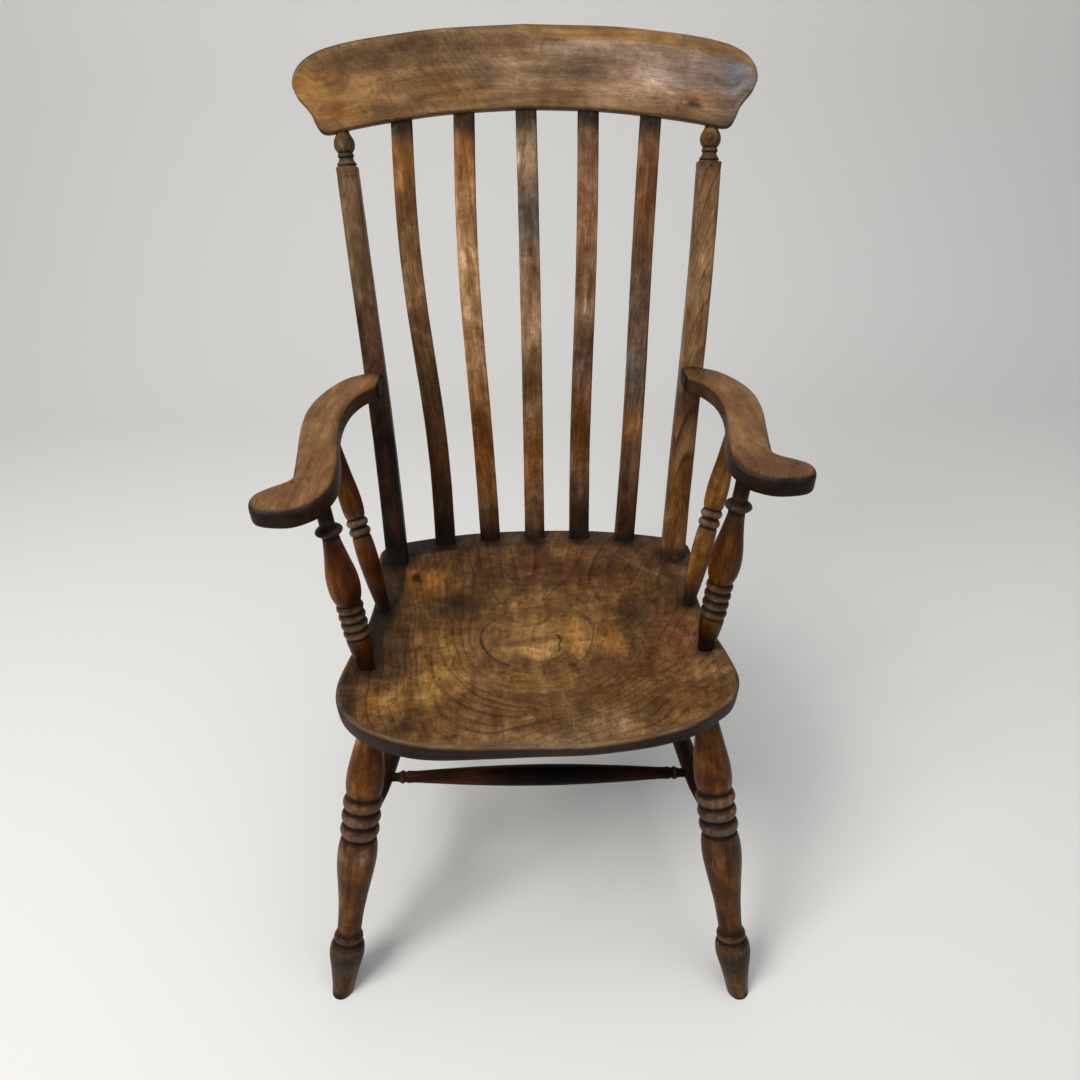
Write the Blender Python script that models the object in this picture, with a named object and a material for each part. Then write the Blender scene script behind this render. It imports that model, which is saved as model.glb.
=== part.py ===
# Lath-back Windsor armchair, old and hand made, in elm and beech.
# X runs across the chair, Y from the sitter's knees to the back, Z up from the floor. Metres.
# Left and right are as someone sees them who stands in front of the chair.

import math

import bmesh
import bpy
from mathutils import Matrix, Vector

# Fit of the joints
FIT = 0.0003
SOCKET_END_ROOM = 0.0006
CUT_THROUGH = 0.012

# Place of the chair's own origin, which lies under the middle of its box
ORIGIN_BACK = 0.0353

# Seat, one elm board, saddled on top
SEAT_HEIGHT = 0.430
SEAT_THICKNESS = 0.038
SEAT_HALF_WIDTH = 0.257
SEAT_FRONT = 0.219
SEAT_BACK = 0.241
SEAT_TOP_ROUND = 0.003
SEAT_EDGE_FACE = 0.026
SEAT_EDGE_DRAFT = 0.0015
SEAT_CHAMFER_WIDTH = 0.013
SEAT_DISH_DEPTH = 0.011
SEAT_FRONT_DIP = 0.010
SEAT_DIP_FROM_MIDDLE = 0.050
SEAT_DIP_REACH = 0.200
SEAT_DISH_RIM = 0.80
SEAT_OUTLINE_STEPS = 2
# Half outlines from the middle of the front edge to the middle of the back edge:
# share of the half width, share of the way from front edge to back edge.
# The board was cut by eye, and its left front corner stands further forward.
SEAT_FRONT_OUTLINE = {
    "right": (
        (0.00, 0.000),
        (0.23, 0.002),
        (0.46, 0.017),
        (0.61, 0.035),
        (0.74, 0.061),
        (0.86, 0.105),
        (0.95, 0.150),
        (1.00, 0.225),
    ),
    "left": (
        (0.00, 0.000),
        (0.23, -0.003),
        (0.46, -0.004),
        (0.61, 0.007),
        (0.74, 0.033),
        (0.87, 0.077),
        (0.965, 0.142),
        (1.00, 0.224),
    ),
}
SEAT_REAR_OUTLINE = (
    (0.980, 0.330),
    (0.935, 0.450),
    (0.918, 0.580),
    (0.932, 0.720),
    (0.961, 0.830),
    (0.950, 0.893),
    (0.875, 0.928),
    (0.63, 0.966),
    (0.34, 0.992),
    (0.00, 1.000),
)

# Legs, turned
LEG_SIDES = 14
LEG_TENON_RADIUS = 0.0125
LEG_TENON_DEPTH = 0.023
LEG_TOP_RADIUS = 0.0142
LEG_BULB_RADIUS = 0.0248
LEG_RING_RADIUS = 0.0258
LEG_GROOVE_RADIUS = 0.0220
LEG_VASE_RADIUS = 0.0265
LEG_NECK_RADIUS = 0.0163
LEG_FOOT_BULB_RADIUS = 0.0238
LEG_FOOT_RADIUS = 0.0147
LEG_RING_COUNT = 3
FRONT_SOCKET_FROM_SIDE = 0.043
FRONT_SOCKET_FROM_FRONT = 0.089
REAR_SOCKET_FROM_SIDE = 0.090
REAR_SOCKET_FROM_BACK = 0.118
FRONT_LEG_SPLAY_OUT = {"left": 0.069, "right": 0.055}
FRONT_LEG_SPLAY_FORWARD = {"left": 0.144, "right": 0.158}
REAR_LEG_SPLAY_OUT = {"left": 0.066, "right": 0.066}
REAR_LEG_SPLAY_BACK = {"left": 0.140, "right": 0.140}

# Stretchers, an H between the legs
STRETCHER_SIDES = 12
STRETCHER_FRONT_HEIGHT = 0.208
STRETCHER_REAR_HEIGHT = 0.178
STRETCHER_TENON_RADIUS = 0.0068
STRETCHER_TENON_DEPTH = 0.020
STRETCHER_END_RADIUS = 0.0088
STRETCHER_NECK = 0.008
STRETCHER_BEAD = 0.006
STRETCHER_TAPER_START = 0.035
STRETCHER_TAPER_STEPS = 4
SIDE_STRETCHER_RADIUS = 0.0150
CROSS_STRETCHER_RADIUS = 0.0157
CROSS_TENON_DEPTH = 0.014
CROSS_JOINT_SHARE = 0.29

# Back posts and laths, bent, raked back
BACK_TOP = 0.347
BACK_SWEEP = 0.31
BACK_RAKE = 0.18
BACK_S_BEND = 0.005
BACK_STEPS = 8
# Sideways bow and S-bend of each riven upright
BACK_SIDE_BEND = {
    "back_post_left": (0.0026, 0.0),
    "lath_1": (-0.0023, 0.0046),
    "lath_2": (-0.0057, 0.0021),
    "lath_3": (0.0010, 0.0),
    "lath_4": (0.0003, -0.0014),
    "lath_5": (0.0017, 0.0018),
    "back_post_right": (0.0025, 0.0),
}
POST_FROM_SIDE = 0.0415
POST_FROM_BACK = 0.0835
POST_TOP_SPREAD = {"left": 0.0295, "right": 0.0320}
POST_WIDTH_SEAT = {"left": 0.0335, "right": 0.0370}
POST_WIDTH_TOP = {"left": 0.0290, "right": 0.0325}
POST_DEPTH = 0.0210
POST_CORNER = 0.0055
POST_TENON_DEPTH = 0.023
POST_COLLAR_RADIUS = 0.0140
POST_NECK_RADIUS = 0.0095
POST_BALL_RADIUS = 0.0140
POST_TOP_TENON_RADIUS = 0.0062
POST_TOP_TENON_DEPTH = 0.026
LATH_COUNT = 5
LATH_PITCH_SEAT = 0.0722
LATH_PITCH_CREST = 0.0836
LATH_FROM_BACK = 0.0220
LATH_WIDTH_SEAT = 0.0325
LATH_WIDTH_TOP = 0.0290
LATH_THICKNESS = 0.0110
LATH_CORNER = 0.0030
LATH_SEAT_DEPTH = 0.018
LATH_CREST_DEPTH = 0.020

# Crest rail, one board, curved in plan, leaning back
CREST_THICKNESS = 0.0220
CREST_HALF_LENGTH = 0.3015
CREST_EDGE_ROUND = 0.0045
CREST_BOTTOM_MIDDLE = 1.0315
CREST_HEIGHT_MIDDLE = 0.0965
CREST_STATIONS = 12
# Upper edge, from the middle to the end: share of the half length, drop below the middle's top
CREST_UPPER_EDGE = (
    (0.00, 0.000),
    (0.34, 0.0030),
    (0.56, 0.0090),
    (0.72, 0.0150),
    (0.83, 0.0215),
    (0.90, 0.0285),
    (0.955, 0.0385),
    (0.988, 0.0500),
    (1.00, 0.0600),
)
# Lower edge, from the middle to the end: share of the half length, rise over the middle's bottom
CREST_LOWER_EDGE = (
    (0.00, 0.000),
    (0.33, -0.0035),
    (0.60, -0.0115),
    (0.78, -0.0190),
    (0.865, -0.0240),
    (0.905, -0.0220),
    (0.925, -0.0125),
    (0.938, -0.0015),
    (0.960, 0.0085),
    (0.985, 0.0180),
    (1.00, 0.0300),
)

# Arms, sawn boards lapped on the posts
ARM_THICKNESS = 0.0260
ARM_EDGE_ROUND = 0.0050
ARM_REAR_HEIGHT = 0.713
ARM_FRONT_HEIGHT = {"left": 0.694, "right": 0.708}
ARM_OUTLINE_STEPS = 2
# Outline from the post's outer edge, round the hand, to the post's inner edge:
# share of the way from the post to the front support, distance outside the line between them
ARM_OUTLINE = (
    (0.000, 0.0145),
    (0.056, 0.0372),
    (0.181, 0.0562),
    (0.330, 0.0649),
    (0.504, 0.0616),
    (0.720, 0.0485),
    (0.860, 0.0400),
    (0.945, 0.0375),
    (1.005, 0.0581),
    (1.047, 0.0695),
    (1.106, 0.0700),
    (1.160, 0.0580),
    (1.176, 0.0264),
    (1.150, 0.0060),
    (1.090, -0.0090),
    (0.960, -0.0168),
    (0.783, -0.0078),
    (0.609, 0.0059),
    (0.449, 0.0130),
    (0.310, 0.0122),
    (0.209, 0.0038),
    (0.1426, -0.0092),
    (0.118, -0.0155),
)

# Turned supports under the arms
SUPPORT_SIDES = 12
FRONT_SUPPORT_FROM_SIDE = 0.0325
FRONT_SUPPORT_FROM_FRONT = {"left": 0.138, "right": 0.160}
FRONT_SUPPORT_LEAN_OUT = 0.0213
FRONT_SUPPORT_LEAN_BACK = {"left": 0.013, "right": 0.008}
SUPPORT_FOOT_RADIUS = 0.0100
SUPPORT_SEAT_DEPTH = 0.020
SUPPORT_SHAFT_RADIUS = 0.0158
SUPPORT_RING_RADIUS = 0.0170
SUPPORT_GROOVE_RADIUS = 0.0142
SUPPORT_RING_COUNT = 4
SUPPORT_VASE_RADIUS = 0.0200
SUPPORT_NECK_RADIUS = 0.0105
SUPPORT_COLLAR_RADIUS = 0.0165
SUPPORT_TOP_RADIUS = 0.0095
ARM_SOCKET_DEPTH = 0.014
SPINDLE_FROM_SIDE = 0.0380
SPINDLE_FROM_BACK = 0.2045
SPINDLE_LEAN_OUT = 0.0535
SPINDLE_LEAN_BACK = 0.0715
SPINDLE_FOOT_RADIUS = 0.0088
SPINDLE_SWELL_RADIUS = 0.0135
SPINDLE_RING_RADIUS = 0.0150
SPINDLE_GROOVE_RADIUS = 0.0122
SPINDLE_RING_COUNT = 2
SPINDLE_TOP_RADIUS = 0.0088

# Screws from behind the posts into the arms
SCREW_SIDES = 12
SCREW_SHANK_RADIUS = 0.0025
SCREW_HEAD_RADIUS = 0.0048
SCREW_HEAD_HEIGHT = 0.0030
SCREW_LENGTH = 0.044
SCREW_BELOW_ARM_TOP = 0.018

# Colour and roughness of the old waxed wood of each piece
WOOD_FINISH = {
    "seat": ((0.165, 0.088, 0.034), 0.42),
    "crest_rail": ((0.190, 0.115, 0.052), 0.38),
    "back_post": ((0.140, 0.075, 0.030), 0.36),
    "lath": ((0.150, 0.080, 0.030), 0.40),
    "arm": ((0.185, 0.105, 0.048), 0.36),
    "front_arm_support": ((0.080, 0.028, 0.008), 0.34),
    "rear_arm_spindle": ((0.080, 0.028, 0.008), 0.34),
    "leg": ((0.060, 0.028, 0.010), 0.38),
    "stretcher": ((0.022, 0.007, 0.003), 0.42),
}
SIDE_SIGN = {"left": -1.0, "right": 1.0}


def clear_scene():
    for old in list(bpy.data.objects):
        bpy.data.objects.remove(old, do_unlink=True)


def wood_material(name):
    colour, roughness = WOOD_FINISH[name]
    material = bpy.data.materials.new("wood_" + name)
    material.use_nodes = True
    shader = material.node_tree.nodes["Principled BSDF"]
    shader.inputs["Base Color"].default_value = (*colour, 1.0)
    shader.inputs["Roughness"].default_value = roughness
    shader.inputs["Metallic"].default_value = 0.0
    return material


def steel_material():
    material = bpy.data.materials.new("steel_screw")
    material.use_nodes = True
    shader = material.node_tree.nodes["Principled BSDF"]
    shader.inputs["Base Color"].default_value = (0.060, 0.045, 0.035, 1.0)
    shader.inputs["Roughness"].default_value = 0.55
    shader.inputs["Metallic"].default_value = 1.0
    return material


def add_object(name, bm, material, matrix=None):
    bmesh.ops.recalc_face_normals(bm, faces=bm.faces)
    mesh = bpy.data.meshes.new(name)
    bm.to_mesh(mesh)
    bm.free()
    mesh.shade_smooth()
    mesh.set_sharp_from_angle(angle=math.radians(32))
    piece = bpy.data.objects.new(name, mesh)
    bpy.context.collection.objects.link(piece)
    if material is not None:
        mesh.materials.append(material)
    piece.parent = CHAIR
    piece.matrix_basis = matrix if matrix is not None else Matrix.Identity(4)
    return piece


def add_cutter(name, bm, matrix=None):
    cutter = add_object("cut_" + name, bm, None, matrix)
    cutter.hide_render = True
    cutter.display_type = "WIRE"
    return cutter


def cut(piece, cutter):
    modifier = piece.modifiers.new("cut_" + cutter.name, "BOOLEAN")
    modifier.operation = "DIFFERENCE"
    modifier.solver = "EXACT"
    modifier.object = cutter


def loft(rings):
    """Skin a run of rings, each with the same number of points, and close both ends."""
    bm = bmesh.new()
    loops = [[bm.verts.new(point) for point in ring] for ring in rings]
    count = len(loops[0])
    for lower, upper in zip(loops[:-1], loops[1:]):
        for i in range(count):
            j = (i + 1) % count
            bm.faces.new((lower[i], lower[j], upper[j], upper[i]))
    bm.faces.new(list(reversed(loops[0])))
    bm.faces.new(loops[-1])
    return bm


def turned(profile, sides):
    """Revolve a profile of (radius, height) pairs about Z with a spin, and close its ends."""
    bm = bmesh.new()
    chain = [bm.verts.new((radius, 0.0, height)) for radius, height in profile]
    edges = [bm.edges.new(pair) for pair in zip(chain[:-1], chain[1:])]
    bmesh.ops.spin(
        bm,
        geom=chain + edges,
        axis=(0.0, 0.0, 1.0),
        cent=(0.0, 0.0, 0.0),
        steps=sides,
        angle=math.tau,
        use_merge=True,
    )
    bmesh.ops.remove_doubles(bm, verts=bm.verts, dist=1e-6)
    open_edges = [edge for edge in bm.edges if edge.is_boundary]
    bmesh.ops.holes_fill(bm, edges=open_edges, sides=0)
    return bm


def smooth_path(points, steps):
    """Catmull-Rom curve through 2-D points, with its own first and last point."""
    last = len(points) - 1
    path = []
    for i in range(last):
        before = points[max(i - 1, 0)]
        start = points[i]
        end = points[i + 1]
        after = points[min(i + 2, last)]
        for step in range(steps):
            t = step / steps
            path.append(tuple(
                0.5 * (2 * b + (c - a) * t + (2 * a - 5 * b + 4 * c - d) * t * t
                       + (3 * b - a - 3 * c + d) * t ** 3)
                for a, b, c, d in zip(before, start, end, after)
            ))
    path.append(tuple(points[last]))
    return path


def along(table, share):
    """Read a smooth curve through a table of (share, value) pairs."""
    for (x0, y0), (x1, y1) in zip(table[:-1], table[1:]):
        if share <= x1:
            t = (share - x0) / (x1 - x0)
            return y0 + (y1 - y0) * t
    return table[-1][1]


def axis_matrix(start, end):
    """Frame at start whose Z axis points to end and whose X axis stays level."""
    z_axis = (end - start).normalized()
    x_axis = Vector((0.0, 1.0, 0.0)).cross(z_axis).normalized()
    y_axis = z_axis.cross(x_axis)
    rotation = Matrix((x_axis, y_axis, z_axis)).transposed().to_4x4()
    return Matrix.Translation(start) @ rotation


def round_socket(name, matrix, radius, low, high, sides):
    """Cutter for a tenon of the same radius and sides, in the same frame, with the named fit."""
    room = radius + FIT / math.cos(math.pi / sides)
    return add_cutter(name, turned([(room, low), (room, high)], sides), matrix)


def rounded_rectangle(width, depth, corner, points_per_corner):
    """Points round a rectangle with rounded corners, widths along x and depths along y."""
    corner = min(corner, width / 2, depth / 2)
    points = []
    for quarter in range(4):
        angle = quarter * math.pi / 2
        side_x = 1.0 if quarter in (0, 3) else -1.0
        side_y = 1.0 if quarter in (0, 1) else -1.0
        centre_x = side_x * (width / 2 - corner)
        centre_y = side_y * (depth / 2 - corner)
        for step in range(points_per_corner):
            turn = angle + (math.pi / 2) * step / (points_per_corner - 1)
            points.append((centre_x + corner * math.cos(turn), centre_y + corner * math.sin(turn)))
    return points


# Places that several pieces share

SEAT_UNDERSIDE = SEAT_HEIGHT - SEAT_THICKNESS
CREST_TOP_MIDDLE = CREST_BOTTOM_MIDDLE + CREST_HEIGHT_MIDDLE


def back_surface(x, z):
    """Y of the middle of the back, a surface swept in plan and raked."""
    return BACK_TOP + BACK_RAKE * (z - CREST_BOTTOM_MIDDLE) - BACK_SWEEP * x * x


def seat_back_edge(x):
    """Y of the seat's back edge at x, on the arc through its middle and its rear corners."""
    corner_x = 0.875 * SEAT_HALF_WIDTH
    corner_drop = (1.0 - 0.928) * (SEAT_FRONT + SEAT_BACK)
    return SEAT_BACK - corner_drop * (x / corner_x) ** 2


def crest_bottom(x):
    return CREST_BOTTOM_MIDDLE + along(CREST_LOWER_EDGE, abs(x) / CREST_HALF_LENGTH)


def crest_top(x):
    return CREST_TOP_MIDDLE - along(CREST_UPPER_EDGE, abs(x) / CREST_HALF_LENGTH)


def front_leg_ends(side):
    sign = SIDE_SIGN[side]
    x = SEAT_HALF_WIDTH - FRONT_SOCKET_FROM_SIDE
    y = -SEAT_FRONT + FRONT_SOCKET_FROM_FRONT
    foot_x = x + FRONT_LEG_SPLAY_OUT[side]
    foot_y = y - FRONT_LEG_SPLAY_FORWARD[side]
    return Vector((sign * foot_x, foot_y, 0.0)), Vector((sign * x, y, SEAT_UNDERSIDE))


def rear_leg_ends(side):
    sign = SIDE_SIGN[side]
    x = SEAT_HALF_WIDTH - REAR_SOCKET_FROM_SIDE
    y = SEAT_BACK - REAR_SOCKET_FROM_BACK
    foot_x = x + REAR_LEG_SPLAY_OUT[side]
    foot_y = y + REAR_LEG_SPLAY_BACK[side]
    return Vector((sign * foot_x, foot_y, 0.0)), Vector((sign * x, y, SEAT_UNDERSIDE))


def point_at_height(ends, height):
    foot, top = ends
    return foot.lerp(top, height / top.z)


def post_ends(side):
    sign = SIDE_SIGN[side]
    x = SEAT_HALF_WIDTH - POST_FROM_SIDE
    top_x = x + POST_TOP_SPREAD[side]
    top_z = crest_bottom(top_x) - FIT
    seat = Vector((sign * x, SEAT_BACK - POST_FROM_BACK, SEAT_HEIGHT))
    return seat, Vector((sign * top_x, back_surface(top_x, top_z), top_z))


def arm_frame(side):
    """Frame of an arm: origin on the post's front face at the arm's top, -Y towards the hand."""
    seat, top = post_ends(side)
    axis = (top - seat).normalized()
    centre = seat.lerp(top, (ARM_REAR_HEIGHT - seat.z) / (top.z - seat.z))
    front_face = POST_DEPTH / 2 / math.cos(math.atan2(axis.y, axis.z))
    start = Vector((centre.x, centre.y - front_face, ARM_REAR_HEIGHT))
    support = support_ends(side)[1]
    run = start.y - support.y
    tilt = math.atan2(ARM_REAR_HEIGHT - ARM_FRONT_HEIGHT[side], run)
    return Matrix.Translation(start) @ Matrix.Rotation(tilt, 4, "X"), run / math.cos(tilt)


def support_ends(side):
    """Seat and arm ends of a front support, at the seat's top and the arm's underside."""
    sign = SIDE_SIGN[side]
    x = SEAT_HALF_WIDTH - FRONT_SUPPORT_FROM_SIDE
    y = -SEAT_FRONT + FRONT_SUPPORT_FROM_FRONT[side]
    top_z = ARM_FRONT_HEIGHT[side] - ARM_THICKNESS
    seat = Vector((sign * x, y, SEAT_HEIGHT))
    top = Vector((sign * (x + FRONT_SUPPORT_LEAN_OUT), y + FRONT_SUPPORT_LEAN_BACK[side], top_z))
    return seat, top


def arm_underside(side, y):
    frame, run = arm_frame(side)
    start = frame.to_translation()
    slope = (ARM_REAR_HEIGHT - ARM_FRONT_HEIGHT[side]) / run
    return ARM_REAR_HEIGHT - ARM_THICKNESS - slope * (start.y - y)


def spindle_ends(side):
    sign = SIDE_SIGN[side]
    x = SEAT_HALF_WIDTH - SPINDLE_FROM_SIDE
    y = SEAT_BACK - SPINDLE_FROM_BACK
    top_y = y + SPINDLE_LEAN_BACK
    seat = Vector((sign * x, y, SEAT_HEIGHT))
    return seat, Vector((sign * (x + SPINDLE_LEAN_OUT), top_y, arm_underside(side, top_y)))


# Seat

def seat_half_outline(side):
    depth = SEAT_FRONT + SEAT_BACK
    half = smooth_path(SEAT_FRONT_OUTLINE[side] + SEAT_REAR_OUTLINE, SEAT_OUTLINE_STEPS)
    return [(SIDE_SIGN[side] * x * SEAT_HALF_WIDTH, y * depth - SEAT_FRONT) for x, y in half]


def seat_outline():
    return seat_half_outline("right") + list(reversed(seat_half_outline("left")[1:-1]))


def dish(share, x, y):
    """Depth of the saddling under the rim, for a point at a share of the way to the edge."""
    forward = max(0.0, -y) / SEAT_FRONT
    rim = SEAT_DISH_RIM + 0.55 * forward
    fall = min(1.0, max(0.0, share / rim))
    bowl = 1.0 - fall * fall * (3.0 - 2.0 * fall)
    dip = forward ** 3 * max(0.0, 1.0 - ((x - SEAT_DIP_FROM_MIDDLE) / SEAT_DIP_REACH) ** 2)
    return SEAT_DISH_DEPTH * bowl + SEAT_FRONT_DIP * dip * share


def seat_ring(outline, inset, share, z):
    """One ring of the seat: the outline drawn in by an inset, or towards the middle by a share."""
    count = len(outline)
    ring = []
    for i, (x, y) in enumerate(outline):
        before = Vector(outline[i - 1])
        after = Vector(outline[(i + 1) % count])
        outward = Vector((after.y - before.y, before.x - after.x)).normalized()
        px = (x - outward.x * inset) * share
        py = (y - outward.y * inset) * share
        ring.append((px, py, z(px, py)))
    return ring


def build_seat():
    outline = seat_outline()
    edge_low = SEAT_HEIGHT - SEAT_EDGE_FACE

    def top(share):
        return lambda x, y: SEAT_HEIGHT - dish(share, x, y)

    rings = [
        seat_ring(outline, SEAT_CHAMFER_WIDTH, 1.0, lambda x, y: SEAT_UNDERSIDE),
        seat_ring(outline, SEAT_EDGE_DRAFT, 1.0, lambda x, y: edge_low),
        seat_ring(outline, 0.0, 1.0, lambda x, y: edge_low + SEAT_TOP_ROUND),
        seat_ring(outline, 0.0, 1.0, lambda x, y: top(1.0)(x, y) - SEAT_TOP_ROUND),
        seat_ring(outline, SEAT_TOP_ROUND, 1.0, top(0.99)),
    ]
    for share in (0.90, 0.80, 0.68, 0.52, 0.34, 0.16):
        rings.append(seat_ring(outline, SEAT_TOP_ROUND, share, top(share)))
    return add_object("seat", loft(rings), wood_material("seat"))


# Legs

def leg_profile(ends):
    """Radius and height pairs up a leg, from the floor to the top of its tenon."""
    foot, top = ends
    length = (top - foot).length
    shares = [
        (0.000, LEG_FOOT_RADIUS),
        (0.077, LEG_FOOT_BULB_RADIUS * 0.78),
        (0.128, LEG_FOOT_BULB_RADIUS * 0.95),
        (0.158, LEG_FOOT_BULB_RADIUS),
        (0.184, LEG_FOOT_BULB_RADIUS * 0.92),
        (0.199, LEG_FOOT_BULB_RADIUS * 0.76),
        (0.209, LEG_FOOT_BULB_RADIUS * 0.83),
        (0.220, LEG_NECK_RADIUS * 1.08),
        (0.245, LEG_NECK_RADIUS),
        (0.320, LEG_NECK_RADIUS * 1.10),
        (0.400, LEG_VASE_RADIUS * 0.82),
        (0.470, LEG_VASE_RADIUS * 0.96),
        (0.518, LEG_VASE_RADIUS),
        (0.555, LEG_VASE_RADIUS * 0.95),
        (0.580, LEG_GROOVE_RADIUS),
    ]
    ring_low = 0.585
    ring_pitch = 0.0475
    for ring in range(LEG_RING_COUNT):
        low = ring_low + ring * ring_pitch
        shares.append((low + 0.28 * ring_pitch, LEG_RING_RADIUS))
        shares.append((low + 0.72 * ring_pitch, LEG_RING_RADIUS))
        shares.append((low + 0.98 * ring_pitch, LEG_GROOVE_RADIUS))
    shares += [
        (0.745, LEG_BULB_RADIUS * 0.96),
        (0.772, LEG_BULB_RADIUS),
        (0.815, LEG_BULB_RADIUS * 0.96),
        (0.870, LEG_BULB_RADIUS * 0.82),
        (0.930, LEG_TOP_RADIUS * 1.13),
        (0.975, LEG_TOP_RADIUS),
        (0.985, LEG_TENON_RADIUS),
    ]
    profile = [(radius, share * length) for share, radius in shares]
    profile.append((LEG_TENON_RADIUS, length + LEG_TENON_DEPTH))
    return profile


def build_leg(name, ends):
    """A turned leg, run on below the floor and then sawn level."""
    foot, top = ends
    matrix = axis_matrix(foot, top)
    profile = leg_profile(ends)
    profile.insert(0, (LEG_FOOT_RADIUS, -2.0 * LEG_FOOT_RADIUS))
    bm = turned(profile, LEG_SIDES)
    floor_up = matrix.to_3x3().transposed() @ Vector((0.0, 0.0, 1.0))
    geometry = list(bm.verts) + list(bm.edges) + list(bm.faces)
    bmesh.ops.bisect_plane(
        bm, geom=geometry, dist=1e-6, plane_co=(0.0, 0.0, 0.0), plane_no=floor_up, clear_inner=True
    )
    open_edges = [edge for edge in bm.edges if edge.is_boundary]
    bmesh.ops.holes_fill(bm, edges=open_edges, sides=0)
    leg = add_object(name, bm, wood_material("leg"), matrix)
    length = (top - foot).length
    cutter = round_socket(
        name, matrix, LEG_TENON_RADIUS, 0.94 * length,
        length + LEG_TENON_DEPTH + SOCKET_END_ROOM, LEG_SIDES
    )
    return leg, cutter


# Stretchers

def stretcher_profile(length, end_radius, swell_radius, swell_share, tenon_depth):
    """Profile of a stretcher between the faces that it enters, with a tenon at both ends."""
    tenon = STRETCHER_TENON_RADIUS
    swell = swell_radius - end_radius
    middle = swell_share * length
    bead = STRETCHER_NECK + STRETCHER_BEAD
    end = [
        (tenon, -tenon_depth),
        (tenon, STRETCHER_NECK),
        (end_radius * 1.12, bead),
        (end_radius * 0.86, bead + STRETCHER_BEAD * 0.7),
        (end_radius * 1.05, bead + STRETCHER_BEAD * 1.5),
    ]
    profile = list(end)
    for step in range(2 * STRETCHER_TAPER_STEPS + 1):
        t = step / STRETCHER_TAPER_STEPS - 1.0
        reach = middle - STRETCHER_TAPER_START if t < 0 else length - STRETCHER_TAPER_START - middle
        profile.append((end_radius + swell * math.cos(t * math.pi / 2), middle + t * reach))
    profile += [(radius, length - height) for radius, height in reversed(end)]
    return profile


def build_stretcher(name, start, end, swell_radius, swell_share, tenon_depth):
    matrix = axis_matrix_level(start, end)
    length = (end - start).length
    profile = stretcher_profile(length, STRETCHER_END_RADIUS, swell_radius, swell_share, tenon_depth)
    piece = add_object(name, turned(profile, STRETCHER_SIDES), wood_material("stretcher"), matrix)
    low = round_socket(
        name + "_start", matrix, STRETCHER_TENON_RADIUS, -tenon_depth - SOCKET_END_ROOM,
        CUT_THROUGH, STRETCHER_SIDES
    )
    high = round_socket(
        name + "_end", matrix, STRETCHER_TENON_RADIUS, length - CUT_THROUGH,
        length + tenon_depth + SOCKET_END_ROOM, STRETCHER_SIDES
    )
    return piece, low, high


def axis_matrix_level(start, end):
    """Frame at start whose Z axis points to end and whose Y axis points up."""
    z_axis = (end - start).normalized()
    x_axis = Vector((0.0, 0.0, 1.0)).cross(z_axis).normalized()
    y_axis = z_axis.cross(x_axis)
    rotation = Matrix((x_axis, y_axis, z_axis)).transposed().to_4x4()
    return Matrix.Translation(start) @ rotation


def leg_radius_at(height_share):
    table = [(share, radius) for radius, share in leg_share_table()]
    return along(table, height_share)


def leg_share_table():
    unit = leg_profile((Vector((0.0, 0.0, 0.0)), Vector((0.0, 0.0, 1.0))))
    return [(radius, height) for radius, height in unit[:-1]]


def side_stretcher_line(side):
    """Points on the two legs' faces between which a side stretcher shows."""
    front = point_at_height(front_leg_ends(side), STRETCHER_FRONT_HEIGHT)
    rear = point_at_height(rear_leg_ends(side), STRETCHER_REAR_HEIGHT)
    direction = (rear - front).normalized()
    front_skin = leg_radius_at(STRETCHER_FRONT_HEIGHT / SEAT_UNDERSIDE)
    rear_skin = leg_radius_at(STRETCHER_REAR_HEIGHT / SEAT_UNDERSIDE)
    return front + direction * front_skin, rear - direction * rear_skin


def build_undercarriage(seat):
    legs = {}
    for side in SIDE_SIGN:
        for place, ends in (("front", front_leg_ends(side)), ("rear", rear_leg_ends(side))):
            name = f"leg_{place}_{side}"
            legs[name], cutter = build_leg(name, ends)
            cut(seat, cutter)
    joints = {}
    side_pieces = {}
    for side in SIDE_SIGN:
        start, end = side_stretcher_line(side)
        name = f"side_stretcher_{side}"
        side_pieces[side], low, high = build_stretcher(
            name, start, end, SIDE_STRETCHER_RADIUS, CROSS_JOINT_SHARE, STRETCHER_TENON_DEPTH
        )
        cut(legs[f"leg_front_{side}"], low)
        cut(legs[f"leg_rear_{side}"], high)
        joints[side] = start.lerp(end, CROSS_JOINT_SHARE)
    direction = (joints["right"] - joints["left"]).normalized()
    start = joints["left"] + direction * SIDE_STRETCHER_RADIUS
    end = joints["right"] - direction * SIDE_STRETCHER_RADIUS
    cross, low, high = build_stretcher(
        "cross_stretcher", start, end, CROSS_STRETCHER_RADIUS, 0.5, CROSS_TENON_DEPTH
    )
    cut(side_pieces["left"], low)
    cut(side_pieces["right"], high)


# Back

def bent_axis(name, seat, top, share):
    """Point on a bent post or lath: the straight line with its bends added."""
    point = seat + (top - seat) * share
    turn = math.pi * min(1.0, max(0.0, share))
    bow, s_bend = BACK_SIDE_BEND[name]
    point.x += bow * math.sin(turn) + s_bend * math.sin(2 * turn)
    point.y += BACK_S_BEND * math.sin(2 * turn)
    return point


def section_ring(centre, matrix, width, depth, corner, per_corner, height=0.0):
    """A rounded section set square to a piece's axis at a point of that axis."""
    axis = matrix.to_3x3()
    points = rounded_rectangle(width, depth, corner, per_corner)
    return [centre + axis @ Vector((x, y, height)) for x, y in points]


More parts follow.
